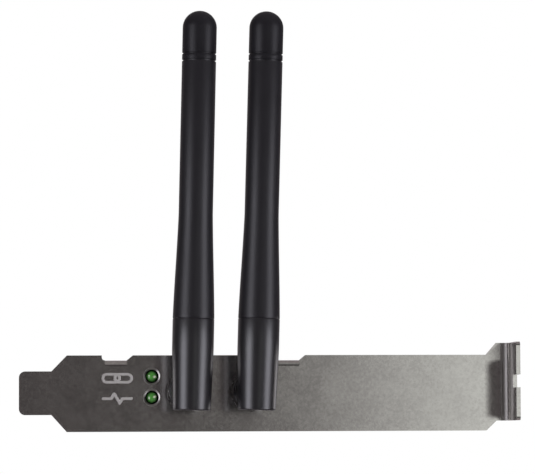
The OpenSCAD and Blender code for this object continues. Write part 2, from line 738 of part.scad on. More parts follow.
// Ring nut that screws onto the jack; its lip pulls the plug's flange in
module collar(at) color(black) on_jack(at) difference() {
  chamfer = 0.4;
  r = collar_d / 2;
  rotate_extrude() polygon([
    [0, collar_start], [r - chamfer, collar_start], [r, collar_start + chamfer], [r, collar_end - chamfer],
    [r - chamfer, collar_end], [0, collar_end]
  ]);
  rod_z(washer_bore, collar_start - cut, lip_start);
  rod_z(neck_d + 2 * run_gap, collar_start, collar_end + cut);
  for (i = [0 : flute_count - 1]) rotate(i * 360 / flute_count)
    translate([r + 0.5 - flute_depth, 0, 0]) rod_z(1, collar_start - cut, collar_end - 1);
}

// Plug body: ferrule in the jack, flange in the collar, head in the knuckle
module plug_body(at) color(gold) on_jack(at) difference() {
  union() {
    rod_z(ferrule_d, jack_plane, flange_start + flange_len);
    rod_z(flange_d, flange_start, flange_start + flange_len);
    rod_z(neck_d, flange_start, head_end);
    rod_z(head_d, head_start, head_end);
  }
  rod_z(ferrule_bore, jack_plane - cut, flange_start + flange_len);
  rod_z(plug_insulator_neck, flange_start, head_end + cut);
}

module plug_insulator(at) color(ptfe) on_jack(at) difference() {
  union() {
    rod_z(ferrule_bore, jack_plane, flange_start + flange_len);
    rod_z(plug_insulator_neck, flange_start, head_end);
  }
  rod_z(contact_d, jack_plane - cut, head_end + cut);
}

module plug_contact(at) color(gold) on_jack(at) difference() {
  rod_z(contact_d, jack_plane + run_gap, feed_start);
  rod_z(centre_pin_d + run_gap, jack_plane, jack_plane + contact_socket);
}

module feed_lead(at) color(black) on_jack(at) rod_z(coax_d, feed_start, feed_end);

// Knuckle: disc around the plug's head, and a rounded tongue for the tilt hinge
module knuckle(at, lean) color(black) on_hinge(at, lean) difference() {
  // Along the axis, places are counted from the hinge towards the strip
  disc_front = hinge_out - disc_end;
  disc_back = hinge_out - disc_start;
  union() {
    rod_y(disc_d, disc_front, disc_back);
    block([-tongue_th / 2, 0, -arm_half], [tongue_th / 2, disc_front + cut, arm_half]);
    rod_x(knuckle_r * 2, -tongue_th / 2, tongue_th / 2);
  }
  rod_y(neck_d + 2 * run_gap, hinge_out - head_start, disc_back + cut);
  rod_y(head_d + 2 * run_gap, hinge_out - head_end - run_gap, hinge_out - head_start + run_gap);
  rod_y(contact_d + 4 * run_gap, 0, disc_back);
  for (side = [0, 1]) mirror([side, 0, 0])
    rod_x(hinge_pin_d + 2 * run_gap, pin_inner - run_gap, tongue_th / 2 + cut);
  block([-cable_half, -knuckle_r - cut, -cable_half], [cable_half, cable_half, knuckle_r + cut]);
}

module hinge_pins(at, lean) color(plated) on_hinge(at, lean) for (side = [0, 1]) mirror([side, 0, 0])
  rod_x(hinge_pin_d, pin_inner, pin_outer);

// Housing around the tilt hinge: closed in front, open behind and below for the knuckle
module hinge_housing(at, lean) color(black) on_hinge(at, lean) difference() {
  union() {
    rotate_extrude() {
      polygon([
        [0, foot_z], [foot_d / 2 - foot_round, foot_z], [foot_d / 2, foot_z + foot_round],
        [housing_d / 2, taper_z], [housing_d / 2, seam_z - edge_break], [housing_d / 2 - edge_break, seam_z],
        [0, seam_z]
      ]);
      translate([foot_d / 2 - foot_round, foot_z + foot_round]) circle(r = foot_round);
    }
    rod_z(spigot_d, seam_z - cut, seam_z + spigot_len);
  }
  block([-fork_half, -arm_half - fork_gap, foot_z - cut], [fork_half, housing_d, arm_half + fork_gap]);
  rod_x(pocket_r * 2, -fork_half, fork_half);
  rod_z(coax_d + 2 * coax_gap, 0, housing_bore_z + cut);
  rod_z(sleeve_bore, housing_bore_z, seam_z + spigot_len + cut);
  rod_x(hinge_pin_d, -housing_d, housing_d);
}

// Radius of the whip between the seam and the end of the flare: a soft S
function flare_r(t) = let (s = t * t * (3 - 2 * t), mix = 0.35 * s + 0.65 * t)
  (housing_d * (1 - mix) + whip_d * mix) / 2;
flare_steps = 10;

module whip_sleeve(at, lean) color(black) on_hinge(at, lean) difference() {
  rotate_extrude() polygon(concat(
    [[0, seam_z], [housing_d / 2 - edge_break, seam_z]],
    [for (i = [0 : flare_steps]) let (t = i / flare_steps)
      [flare_r(t), seam_z + edge_break + (flare_z - seam_z - edge_break) * t]],
    [[whip_d / 2, cap_z - groove_w / 2], [whip_d / 2 - groove_depth, cap_z - groove_w / 2],
     [whip_d / 2 - groove_depth, cap_z], [0, cap_z]]
  ));
  rod_z(spigot_d + 2 * run_gap, seam_z - cut, seam_z + spigot_len + run_gap);
  rod_z(sleeve_bore, seam_z, cap_z + cut);
}

module tip_cap(at, lean) color(black) on_hinge(at, lean) {
  difference() {
    union() {
      rod_z(whip_d - 2 * groove_depth, cap_z, cap_z + groove_w / 2);
      rod_z(whip_d, cap_z + groove_w / 2, tip_z - whip_d / 2);
      translate([0, 0, tip_z - whip_d / 2]) sphere(d = whip_d);
    }
    translate([0, 0, cap_z + groove_rise - groove_w / 2]) difference() {
      cylinder(d = whip_d + cut, h = groove_w);
      translate([0, 0, -cut]) cylinder(d = whip_d - 2 * groove_depth, h = groove_w + 2 * cut);
    }
  }
  rod_z(sleeve_bore - 2 * run_gap, cap_z - cap_spigot, cap_z);
}

module coax(at, lean) color(black) on_hinge(at, lean) rod_z(coax_d, hinge_pin_d / 2 + run_gap, dipole_top);

// Brass tube closed on top around the coax
module dipole_tube(at, lean) color(gold) on_hinge(at, lean) difference() {
  rod_z(dipole_d, dipole_z, dipole_top);
  rod_z(dipole_d - 2 * dipole_wall, dipole_z - cut, dipole_top - dipole_wall);
  rod_z(coax_d, dipole_z, dipole_top + cut);
}

module radiator(at, lean) color(gold) on_hinge(at, lean) rod_z(coax_d, dipole_top, dipole_top + radiator_len);

bracket();
bracket_screws();
circuit_board();
edge_contacts();
lamp_holder();
lamp(upper_lamp_z);  // upper_lamp
lamp(lower_lamp_z);  // lower_lamp
lamp_leads();
jack_body(jack_left_at);  // left_jack_body
jack_body(jack_right_at);  // right_jack_body
jack_insulator(jack_left_at);  // left_jack_insulator
jack_insulator(jack_right_at);  // right_jack_insulator
jack_pin(jack_left_at);  // left_jack_pin
jack_pin(jack_right_at);  // right_jack_pin
jack_washers();
jack_nuts();
shield_frame();
shield_cover();
radio_chip();
amplifier_chips();
crystal();
memory_chip();
regulator();
power_inductor();
bulk_capacitors();
ceramic_capacitors();
resistors();
collar(jack_left_at);  // left_collar
collar(jack_right_at);  // right_collar
plug_body(jack_left_at);  // left_plug_body
plug_body(jack_right_at);  // right_plug_body
plug_insulator(jack_left_at);  // left_plug_insulator
plug_insulator(jack_right_at);  // right_plug_insulator
plug_contact(jack_left_at);  // left_plug_contact
plug_contact(jack_right_at);  // right_plug_contact
feed_lead(jack_left_at);  // left_feed_lead
feed_lead(jack_right_at);  // right_feed_lead
knuckle(jack_left_at, lean_left);  // left_knuckle
knuckle(jack_right_at, lean_right);  // right_knuckle
hinge_pins(jack_left_at, lean_left);  // left_hinge_pins
hinge_pins(jack_right_at, lean_right);  // right_hinge_pins
hinge_housing(jack_left_at, lean_left);  // left_hinge_housing
hinge_housing(jack_right_at, lean_right);  // right_hinge_housing
whip_sleeve(jack_left_at, lean_left);  // left_whip_sleeve
whip_sleeve(jack_right_at, lean_right);  // right_whip_sleeve
tip_cap(jack_left_at, lean_left);  // left_tip_cap
tip_cap(jack_right_at, lean_right);  // right_tip_cap
coax(jack_left_at, lean_left);  // left_coax
coax(jack_right_at, lean_right);  // right_coax
dipole_tube(jack_left_at, lean_left);  // left_dipole_tube
dipole_tube(jack_right_at, lean_right);  // right_dipole_tube
radiator(jack_left_at, lean_left);  // left_radiator
radiator(jack_right_at, lean_right);  // right_radiator
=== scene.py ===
import json
import math
import random

import bmesh
import bpy
from mathutils import Matrix, Vector


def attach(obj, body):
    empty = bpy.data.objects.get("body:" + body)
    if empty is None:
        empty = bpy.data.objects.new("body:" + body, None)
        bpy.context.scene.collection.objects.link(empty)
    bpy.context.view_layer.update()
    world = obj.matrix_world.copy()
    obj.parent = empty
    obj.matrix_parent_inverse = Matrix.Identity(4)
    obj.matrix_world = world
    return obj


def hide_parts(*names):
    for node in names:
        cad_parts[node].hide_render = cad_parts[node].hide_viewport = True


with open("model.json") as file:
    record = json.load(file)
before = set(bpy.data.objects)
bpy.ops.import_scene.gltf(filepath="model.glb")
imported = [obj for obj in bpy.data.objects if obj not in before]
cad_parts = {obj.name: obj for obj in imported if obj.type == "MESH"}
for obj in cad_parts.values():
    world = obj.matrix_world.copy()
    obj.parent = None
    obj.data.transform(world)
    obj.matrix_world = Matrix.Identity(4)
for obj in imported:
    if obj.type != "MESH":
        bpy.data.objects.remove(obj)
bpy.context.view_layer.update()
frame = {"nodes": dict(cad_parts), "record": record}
scene = bpy.context.scene
mm = 0.001


def linked(name, data):  # an object in the scene
    made = bpy.data.objects.new(name, data)
    scene.collection.objects.link(made)
    return made


# the photo's camera: places in millimetres, width of view and roll in degrees
camera = {"place": (-134.94, -824.64, -15.33), "aim": (-58.86, 4.0, 35.22), "width": 8.903, "roll": 0.242}


def makeCamera():
    lens = bpy.data.cameras.new("camera")
    lens.sensor_width = 36
    lens.lens = 18 / math.tan(math.radians(camera["width"] / 2))
    lens.clip_start, lens.clip_end = 0.05, 20
    eye = linked("camera", lens)
    place, aim = Vector(camera["place"]) * mm, Vector(camera["aim"]) * mm
    roll = Matrix.Rotation(-math.radians(camera["roll"]), 3, "Z")
    turn = (aim - place).to_track_quat("-Z", "Y").to_matrix() @ roll
    eye.matrix_world = Matrix.Translation(place) @ turn.to_4x4()
    scene.camera = eye


makeCamera()
scene.view_settings.view_transform = "Standard"
print("camera set")


class Value:  # an output socket that takes part in sums
    def __init__(self, tree, out):
        self.tree, self.out = tree, out

    def maths(self, operation, first, second=None):
        return self.tree.maths(operation, first, second)

    def __add__(self, other):
        return self.maths("ADD", self, other)

    def __sub__(self, other):
        return self.maths("SUBTRACT", self, other)

    def __rsub__(self, other):
        return self.maths("SUBTRACT", other, self)

    def __mul__(self, other):
        return self.maths("MULTIPLY", self, other)

    def __truediv__(self, other):
        return self.maths("DIVIDE", self, other)

    def __abs__(self):
        return self.maths("ABSOLUTE", self)

    def least(self, other):
        return self.maths("MINIMUM", self, other)

    def most(self, other):
        return self.maths("MAXIMUM", self, other)

    def root(self):
        return self.maths("SQRT", self)

    __radd__, __rmul__ = __add__, __mul__


class Nodes:  # adds nodes to a shader or geometry tree
    def __init__(self, tree):
        self.tree = tree
        self.spot = None

    def maths(self, operation, first, second=None):
        return self.node("ShaderNodeMath", {"operation": operation}, {0: first, 1: second})

    def node(self, kind, settings=None, values=None, output=0):
        made = self.tree.nodes.new(kind)
        for name, value in (settings or {}).items():
            if name == "stops":
                ramp = made.color_ramp
                while len(ramp.elements) < len(value):
                    ramp.elements.new(0.5)
                for element, (at, colour) in zip(ramp.elements, value):
                    element.position, element.color = at, colour
            else:
                setattr(made, name, value)
        for name, value in (values or {}).items():
            if isinstance(value, Value):
                self.tree.links.new(value.out, made.inputs[name])
            elif isinstance(value, list):
                for part in value:
                    self.tree.links.new(part.out, made.inputs[name])
            elif value is not None:
                made.inputs[name].default_value = value
        return Value(self, made.outputs[output])

    def place(self):  # object coordinates in millimetres
        if self.spot is None:
            spot = self.node("ShaderNodeTexCoord", output=3)
            self.spot = self.node("ShaderNodeVectorMath", {"operation": "SCALE"}, {0: spot, "Scale": 1000.0})
        return self.spot

    def along(self, axis):
        return self.node("ShaderNodeSeparateXYZ", {}, {0: self.place()}, axis)

    def noise(self, size, detail=2.0, rough=0.5, stretch=None):
        spot = self.place()
        if stretch:
            spot = self.node("ShaderNodeVectorMath", {"operation": "MULTIPLY"}, {0: spot, 1: stretch})
        return self.node("ShaderNodeTexNoise", {}, {"Vector": spot, "Scale": 1 / size, "Detail": detail,
                                                    "Roughness": rough})

    def spread(self, value, low, high, newLow, newHigh):
        return self.node("ShaderNodeMapRange", {"interpolation_type": "SMOOTHSTEP"},
                         {0: value, 1: low, 2: high, 3: newLow, 4: newHigh})

    def mix(self, factor, first, second):
        return self.node("ShaderNodeMix", {"data_type": "RGBA"}, {0: factor, 6: first, 7: second}, 2)

    def bump(self, height, depth, strength=1.0):
        return self.node("ShaderNodeBump", {},
                         {"Strength": strength, "Distance": depth * mm, "Height": height})


def metre(*values):  # millimetres to metres
    return tuple(value * mm for value in values)


def rgb(red, green, blue):
    return (red, green, blue, 1.0)


def finish(name, build, **fixed):
    made = bpy.data.materials.new(name)
    made.use_nodes = True
    tree = Nodes(made.node_tree)
    surface = made.node_tree.nodes["Principled BSDF"]
    for key, value in fixed.items():
        surface.inputs[key.replace("_", " ")].default_value = value
    for key, value in build(tree).items():
        if isinstance(value, Value):
            made.node_tree.links.new(value.out, surface.inputs[key])
        else:
            surface.inputs[key].default_value = value
    return made


# the lamps and the stamped signs beside them, in millimetres
lamps = {"x": -87.0, "upper": 1.5, "lower": -3.58, "front": 3.6, "radius": 1.5, "length": 5.3, "flange": 0.4,
         "flangeLength": 0.9}
marks = {"x": -95.4, "upper": 1.05, "lower": -3.85, "width": 0.21, "depth": 0.14}


def markHeight(tree):
    # two stamped signs beside the lamps: a pair of linked rings, and a pulse
    x, z = tree.along(0), tree.along(2)

    def ring(centreX, centreZ, half, radius):
        across = (abs(x - centreX) - half).most(0.0)
        up = z - centreZ
        return abs((across * across + up * up).root() - radius)

    def stroke(x0, z0, x1, z1):
        dx, dz = x1 - x0, z1 - z0
        t = (((x - x0) * dx + (z - z0) * dz) / (dx * dx + dz * dz)).most(0.0).least(1.0)
        ax, az = (x - x0) - t * dx, (z - z0) - t * dz
        return (ax * ax + az * az).root()

    cx, top, low = marks["x"], marks["upper"], marks["lower"]
    nearest = ring(cx - 1.45, top, 1.05, 0.95).least(ring(cx + 1.45, top, 1.05, 0.95))
    pulse = [(-3.4, 0), (-1.4, 0), (-0.7, 1.15), (0.6, -1.15), (1.3, 0), (3.4, 0)]
    for (x0, z0), (x1, z1) in zip(pulse, pulse[1:]):
        nearest = nearest.least(stroke(cx + x0, low + z0, cx + x1, low + z1))
    inner = tree.spread(tree.along(1), 4.2, 4.4, 0.0, 1.0)  # the inner face of the strip stays plain
    return tree.spread(nearest, marks["width"], marks["width"] + 0.16, 0.0, 1.0).most(inner)


def lampAcross(tree):  # x and z from the axis of the nearer lamp
    middle, half = (lamps["upper"] + lamps["lower"]) / 2, (lamps["upper"] - lamps["lower"]) / 2
    return tree.along(0) - lamps["x"], abs(tree.along(2) - middle) - half


def lampReach(tree):  # distance from that axis
    x, z = lampAcross(tree)
    return (x * x + z * z).root()


def platedSheet(tree):
    # zinc-plated sheet: large soft clouds, a fine speckle and a faint grain across
    cloud = tree.noise(7.0, 3.0, 0.6)
    speck = tree.noise(0.62, 4.0, 0.7)
    grain = tree.noise(0.25, 2.0, 0.6, (0.5, 1.0, 1.6))
    marked = markHeight(tree)
    x, z = tree.along(0), tree.along(2)
    # the sheet is duller where it is bent and in the punched lamp holes, and its colour there is darkened
    # with painted shade
    foldShadeAndDull = tree.spread(x, -2.4, -1.5, 0.0, 1.0) * tree.spread(x, -0.5, -0.3, 1.0, 0.0)
    rimShadeAndDull = tree.spread(lampReach(tree), 2.0, 2.2, 1.0, 0.0)
    shade = tree.spread(cloud * 0.35 + speck * 0.65, 0.34, 0.66, 0.0, 1.0)
    colour = tree.mix(shade, rgb(0.52, 0.50, 0.474), rgb(0.67, 0.651, 0.614))
    # painted shade: darker colour in the fold and on the rims of the lamp holes
    colour = tree.mix((foldShadeAndDull * 0.7).most(rimShadeAndDull * 0.45), colour, rgb(0.30, 0.29, 0.272))
    colour = tree.mix(marked, rgb(0.46, 0.455, 0.44), colour)
    rough = 0.1 + cloud * 0.03 + speck * 0.035 + (1 - marked) * 0.45 + foldShadeAndDull * 0.42 + rimShadeAndDull * 0.28
    # the strip is drawn up a little where it runs into the fold
    run = (x + 6.1).most(0.0)
    middle = tree.spread(abs(z + 1.9), 5.6, 7.6, 1.0, 0.0) * (1 - tree.spread(x, -1.7, -1.3, 0.0, 1.0))
    drawn = run * run * middle * 0.12
    height = (grain * 0.012 + speck * 0.012) * (1 - foldShadeAndDull * 0.9) + marked * (marks["depth"] / 0.1) + drawn
    return {"Base Color": colour, "Roughness": rough, "Metallic": marked, "Normal": tree.bump(height, 0.1)}


def plainMetal(tree, speckle, dark, light, rough, bump):
    # a slightly uneven metal; rough is the least roughness and what the speckle adds to it
    speck = tree.noise(*speckle)
    return {"Base Color": tree.mix(speck, rgb(*dark), rgb(*light)), "Roughness": rough[0] + speck * rough[1],
            "Metallic": 1.0, "Normal": tree.bump(tree.noise(bump[0]), bump[1])}


def brightPlate(tree):
    return plainMetal(tree, (0.5, 2.0), (0.62, 0.61, 0.58), (0.74, 0.73, 0.70), (0.26, 0.1), (0.6, 0.004))


# painted shade: nickel coloured darker than plain plate, standing in for the shade round the jack nuts and
# washers
def shadeDarkenedNickel(tree):
    return plainMetal(tree, (0.5, 2.0), (0.16, 0.155, 0.15), (0.23, 0.225, 0.215), (0.34, 0.12), (0.6, 0.004))


def gildedMetal(tree):
    return plainMetal(tree, (0.7, 3.0), (0.74, 0.52, 0.20), (0.86, 0.66, 0.31), (0.24, 0.12), (0.6, 0.004))


def bareBrass(tree):
    return plainMetal(tree, (1.2, 3.0), (0.55, 0.38, 0.15), (0.74, 0.55, 0.26), (0.3, 0.15), (0.3, 0.01))


def moulded(tree, grain, patches, dark, light, rough, bump):
    # plastic with a fine mould texture; rough is the least roughness and what patches and grain add to it
    fine, patch = tree.noise(*grain), tree.noise(patches)
    return {"Base Color": tree.mix(patch, rgb(*dark), rgb(*light)),
            "Roughness": rough[0] + patch * rough[1] + fine * rough[2], "Normal": tree.bump(fine, *bump)}


def whipPlastic(tree):  # spark-eroded, a little worn smooth in patches
    return moulded(tree, (0.14, 2.0, 0.6), 7.0, (0.0090, 0.0085, 0.0110), (0.0135, 0.0130, 0.0160),
                   (0.37, 0.07, 0.05), (0.012, 0.7))


def housingPlastic(tree):  # smoother and glossier than the whip above the seam
    return moulded(tree, (0.2, 2.0, 0.5), 5.0, (0.0080, 0.0078, 0.0095), (0.0120, 0.0116, 0.0140),
                   (0.32, 0.05, 0.04), (0.006, 0.6))


def chipEpoxy(tree):
    return moulded(tree, (0.09, 2.0, 0.7), 3.0, (0.014, 0.014, 0.016), (0.026, 0.026, 0.028),
                   (0.5, 0.0, 0.14), (0.01,))


def holderPlastic(tree):
    return moulded(tree, (0.12, 2.0, 0.6), 2.5, (0.018, 0.018, 0.019), (0.030, 0.030, 0.032),
                   (0.45, 0.0, 0.12), (0.01,))


def cableJacket(tree):
    return moulded(tree, (0.15, 2.0), 2.0, (0.02, 0.02, 0.022), (0.035, 0.035, 0.037),
                   (0.5, 0.0, 0.1), (0.006,))


def lampGreen(tree):
    # tinted resin with painted shade darkening it towards its rim, and a painted highlight in two spots
    # beside the middle
    cloud = tree.noise(1.4, 1.0)
    x, z = lampAcross(tree)
    across = lampReach(tree)
    tilted = x * 0.97 - z * 0.24
    level = z * 0.97 + x * 0.24
    # painted highlight: two bright spots beside the middle of the lens
    paintedHighlight = (((tilted - 0.62) * (tilted - 0.62) + level * level * 1.9).root()).least(
        (((tilted + 0.72) * (tilted + 0.72) + level * level * 1.4).root()) + 0.22)
    # painted shade: the resin darkens towards its rim
    body = tree.mix(tree.spread(across + cloud * 0.2, 0.5, 1.5, 0.0, 1.0),
                    rgb(0.085, 0.33, 0.055), rgb(0.008, 0.036, 0.006))
    colour = tree.mix(tree.spread(paintedHighlight + cloud * 0.1, 0.12, 0.62, 1.0, 0.0), body, rgb(0.90, 1.0, 0.76))
    return {"Base Color": colour, "Roughness": 0.08 + cloud * 0.05,
            "Normal": tree.bump(tree.noise(0.5), 0.004)}


def maskGreen(tree):
    # green solder mask on the faces, the bare glass laminate on the sawn edges
    side = tree.node("ShaderNodeNewGeometry", output=1)
    up = abs(tree.node("ShaderNodeSeparateXYZ", {}, {0: side}, 2))
    face = tree.spread(up, 0.6, 0.8, 0.0, 1.0)
    weave = tree.node("ShaderNodeTexWave", {"wave_type": "BANDS", "bands_direction": "X"},
                      {"Vector": tree.place(), "Scale": 1.1, "Distortion": 0.6}, 1)
    cross = tree.node("ShaderNodeTexWave", {"wave_type": "BANDS", "bands_direction": "Y"},
                      {"Vector": tree.place(), "Scale": 1.1, "Distortion": 0.6}, 1)
    cloth = weave * 0.5 + cross * 0.5
    patch = tree.noise(14.0, 3.0)
    mask = tree.mix(patch * 0.6 + cloth * 0.4, rgb(0.010, 0.105, 0.038), rgb(0.020, 0.165, 0.066))
    glass = tree.noise(0.25, 2.0, 0.6, (0.2, 0.2, 3.0))
    laminate = tree.mix(glass, rgb(0.40, 0.36, 0.19), rgb(0.62, 0.58, 0.36))
    return {"Base Color": tree.mix(face, laminate, mask), "Roughness": 0.55 - face * 0.27 + patch * 0.06,
            "Normal": tree.bump(cloth + tree.noise(0.3) * 0.4, 0.008)}


def maskedCopper(tree):
    patch = tree.noise(6.0, 2.0)
    colour = tree.mix(patch, rgb(0.035, 0.235, 0.080), rgb(0.055, 0.300, 0.105))
    return {"Base Color": colour, "Roughness": 0.24 + patch * 0.08,
            "Normal": tree.bump(tree.noise(0.4), 0.006)}


def solder(tree):
    speck = tree.noise(0.35, 3.0)
    colour = tree.mix(speck, rgb(0.58, 0.58, 0.59), rgb(0.76, 0.76, 0.76))
    return {"Base Color": colour, "Roughness": 0.22 + speck * 0.2, "Metallic": 1.0,
            "Normal": tree.bump(speck, 0.02)}


def firedCeramic(tree):
    speck = tree.noise(0.3, 3.0)
    colour = tree.mix(speck, rgb(0.34, 0.23, 0.13), rgb(0.47, 0.34, 0.21))
    return {"Base Color": colour, "Roughness": 0.42 + speck * 0.15, "Normal": tree.bump(speck, 0.008)}


def whiteInsulator(tree):
    cloud = tree.noise(0.8, 2.0)
    colour = tree.mix(cloud, rgb(0.78, 0.77, 0.73), rgb(0.88, 0.87, 0.84))
    return {"Base Color": colour, "Roughness": 0.42 + cloud * 0.1,
            "Normal": tree.bump(tree.noise(0.2), 0.006)}


def whitePrint(tree):
    speck = tree.noise(0.3, 2.0)
    colour = tree.mix(speck, rgb(0.66, 0.67, 0.64), rgb(0.80, 0.80, 0.77))
    return {"Base Color": colour, "Roughness": 0.5 + speck * 0.1, "Normal": tree.bump(speck, 0.004)}


finishes = {
    "bracket_steel": finish("platedSheet", platedSheet),
    "plated_steel": finish("brightPlate", brightPlate),
    "gold_plate": finish("gildedMetal", gildedMetal),
    "bare_brass": finish("bareBrass", bareBrass),
    "black_plastic": finish("holderPlastic", holderPlastic),
    "lamp_green": finish("lampGreen", lampGreen, IOR=1.5),
    "board": finish("maskGreen", maskGreen),
    "insulator": finish("whiteInsulator", whiteInsulator),
    "chip_black": finish("chipEpoxy", chipEpoxy),
    "ceramic": finish("firedCeramic", firedCeramic),
    "cable_jacket": finish("cableJacket", cableJacket),
    "whip": finish("whipPlastic", whipPlastic),
    "whip_cap": finish("capPlastic", whipPlastic, Specular_IOR_Level=0.25),
    "housing": finish("housingPlastic", housingPlastic, Specular_IOR_Level=0.88),
    "nickel_with_painted_shade": finish("shadeDarkenedNickel", shadeDarkenedNickel),
    "copper": finish("maskedCopper", maskedCopper),
    "solder": finish("solder", solder),
    "print": finish("whitePrint", whitePrint),
}

for entry in frame["record"]["subparts"]:
    mesh = frame["nodes"][entry["node"]].data
    mesh.materials.clear()
    mesh.materials.append(finishes[entry["material_slot"]])
print("finishes made")


def addPiece(name, mesh, look, body, stands=()):
    made = linked(name, mesh)
    if look:
        mesh.materials.clear()
        mesh.materials.append(finishes[look])
    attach(made, body)
    if stands:
        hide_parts(*stands)
    return made


def baked(build, name):  # a mesh of what was built
    mesh = bpy.data.meshes.new(name)
    build.to_mesh(mesh)
    build.free()
    return mesh


def meshFrom(build, name, sharp=35):
    bmesh.ops.recalc_face_normals(build, faces=build.faces)
    mesh = baked(build, name)
    mesh.shade_smooth()
    mesh.set_sharp_from_angle(angle=math.radians(sharp))
    return mesh


def turned(outline, closed=False, steps=96):
    # a profile of radius and height in millimetres, turned about the upright axis
    build = bmesh.new()
    rings = []
    for radius, height in outline:
        if radius < 1e-6:
            rings.append([build.verts.new((0, 0, height * mm))])
        else:
            rings.append([build.verts.new((radius * mm * math.cos(a), radius * mm * math.sin(a), height * mm))
                          for a in (2 * math.pi * i / steps for i in range(steps))])
    pairs = list(zip(rings, rings[1:]))
    if closed:
        pairs.append((rings[-1], rings[0]))
    for low, high in pairs:
        for i in range(steps):
            j = i + 1
            corners = [low[i % len(low)], low[j % len(low)], high[j % len(high)], high[i % len(high)]]
            corners = list(dict.fromkeys(corners))
            if len(corners) > 2:
                build.faces.new(corners)
    bmesh.ops.recalc_face_normals(build, faces=build.faces)
    return build


def skin(build, rings):
    # closes a row of rings of vertices into one solid
    build.faces.new(rings[0])
    build.faces.new(rings[-1])
    for low, high in zip(rings, rings[1:]):
        for i in range(len(low)):
            j = (i + 1) % len(low)
            build.faces.new([low[i], low[j], high[j], high[i]])


def evaluated(holder):
    # the mesh that an object's modifiers make; the object itself goes
    bpy.context.view_layer.update()
    mesh = bpy.data.meshes.new_from_object(holder.evaluated_get(bpy.context.evaluated_depsgraph_get()))
    bpy.data.objects.remove(holder)
    return mesh


def applied(mesh, *modifiers):
    # puts modifiers on a mesh and gives the finished mesh
    holder = linked("work", mesh)
    for kind, settings in modifiers:
        modifier = holder.modifiers.new(kind, kind)
        for key, value in settings.items():
            setattr(modifier, key, value)
    return evaluated(holder)


def softened(node, width, steps=2, limit=30):
    # a copy of a solid with its edges rounded by that many millimetres
    build = bmesh.new()
    build.from_mesh(frame["nodes"][node].data)
    bmesh.ops.remove_doubles(build, verts=build.verts, dist=2e-7)
    bmesh.ops.dissolve_limit(build, angle_limit=math.radians(0.6), verts=build.verts, edges=build.edges)
    build.verts.index_update()
    mesh = bpy.data.meshes.new(node)
    faces = [[vertex.index for vertex in face.verts] for face in build.faces]
    mesh.from_pydata([vertex.co.copy() for vertex in build.verts], [], faces)
    build.free()
    mesh.shade_smooth()
    return applied(mesh, ("BEVEL", {"width": width * mm, "segments": steps, "limit_method": "ANGLE",
                                    "angle_limit": math.radians(limit), "harden_normals": True,
                                    "use_clamp_overlap": True, "miter_outer": "MITER_ARC"}))


def softPiece(node, width, look, steps=2, limit=30):
    body = next(name for name, members in frame["record"]["behaviour"]["bodies"].items() if node in members)
    return addPiece(node + "_finish", softened(node, width, steps, limit), look, body, [node])


def grown(name, build, sizes, look, base):
    # grows a plain mesh from a geometry tree; base is the mesh that the tree starts from
    group = bpy.data.node_groups.new(name, "GeometryNodeTree")
    group.interface.new_socket("Base", in_out="INPUT", socket_type="NodeSocketGeometry")
    group.interface.new_socket("Shape", in_out="OUTPUT", socket_type="NodeSocketGeometry")
    kinds = {int: "NodeSocketInt", float: "NodeSocketFloat", tuple: "NodeSocketVector"}
    sockets = {}
    for label, size in sizes.items():
        kind = kinds.get(type(size), "NodeSocketObject")
        sockets[label] = group.interface.new_socket(label, in_out="INPUT", socket_type=kind).identifier
    tree = Nodes(group)
    entry = group.nodes.new("NodeGroupInput")
    given = {label: Value(tree, entry.outputs[label]) for label in sizes}
    shape = build(tree, Value(tree, entry.outputs["Base"]), given)
    shape = tree.node("GeometryNodeRealizeInstances", {}, {0: shape})
    shape = tree.node("GeometryNodeSetMaterial", {}, {"Geometry": shape, "Material": finishes[look]})
    leave = group.nodes.new("NodeGroupOutput")
    group.links.new(shape.out, leave.inputs[0])
    holder = linked(name, base)
    modifier = holder.modifiers.new(name, "NODES")
    modifier.node_group = group
    for label, size in sizes.items():
        modifier[sockets[label]] = size
    mesh = evaluated(holder)
    mesh.shade_smooth()
    mesh.set_sharp_from_angle(angle=math.radians(35))
    return mesh


def pattern(name, build, bevel=0.0):
    # a small shape that a geometry tree repeats
    bmesh.ops.recalc_face_normals(build, faces=build.faces)
    mesh = baked(build, name)
    if bevel:
        mesh = applied(mesh, ("BEVEL", {"width": bevel, "segments": 2, "limit_method": "ANGLE",
                                        "angle_limit": math.radians(40)}))
    made = linked(name, mesh)
    made.hide_render = True
    return made


def boxShape():
    build = bmesh.new()
    bmesh.ops.create_cube(build, size=1.0)
    return build


def solidsOf(node):
    # the middle and the size, in metres, of each separate solid in a node
    build = bmesh.new()
    build.from_mesh(frame["nodes"][node].data)
    bmesh.ops.remove_doubles(build, verts=build.verts, dist=2e-7)
    seen, found = set(), []
    for start in build.verts:
        if start in seen:
            continue
        seen.add(start)
        front, island = [start], []
        while front:
            vertex = front.pop()
            island.append(vertex.co.copy())
            for edge in vertex.link_edges:
                other = edge.other_vert(vertex)
                if other not in seen:
                    seen.add(other)
                    front.append(other)
        low = Vector([min(v[i] for v in island) for i in range(3)])
        high = Vector([max(v[i] for v in island) for i in range(3)])
        found.append(((low + high) / 2, high - low))
    build.free()
    return found


def spots(name, places, edges=()):
    # places are pairs of a middle and a size, in metres
    mesh = bpy.data.meshes.new(name)
    mesh.from_pydata([place[0] for place in places], edges, [])
    sizes = mesh.attributes.new("size", "FLOAT_VECTOR", "POINT")
    for entry, place in zip(sizes.data, places):
        entry.vector = place[1]
    return mesh


def repeated(tree, base, sizes):
    # one copy of the shape on each point, stretched to the point's size
    own = tree.node("GeometryNodeInputNamedAttribute", {"data_type": "FLOAT_VECTOR"}, {"Name": "size"})
    shape = tree.node("GeometryNodeObjectInfo", {}, {"Object": sizes["Shape"]}, 4)
    return tree.node("GeometryNodeInstanceOnPoints", {}, {"Points": base, "Instance": shape, "Scale": own})


def repeatPiece(name, places, shape, look, stands=()):
    mesh = grown(name, repeated, {"Shape": shape}, look, spots(name, places))
    bpy.data.objects.remove(shape)
    return addPiece(name, mesh, None, "card", stands)


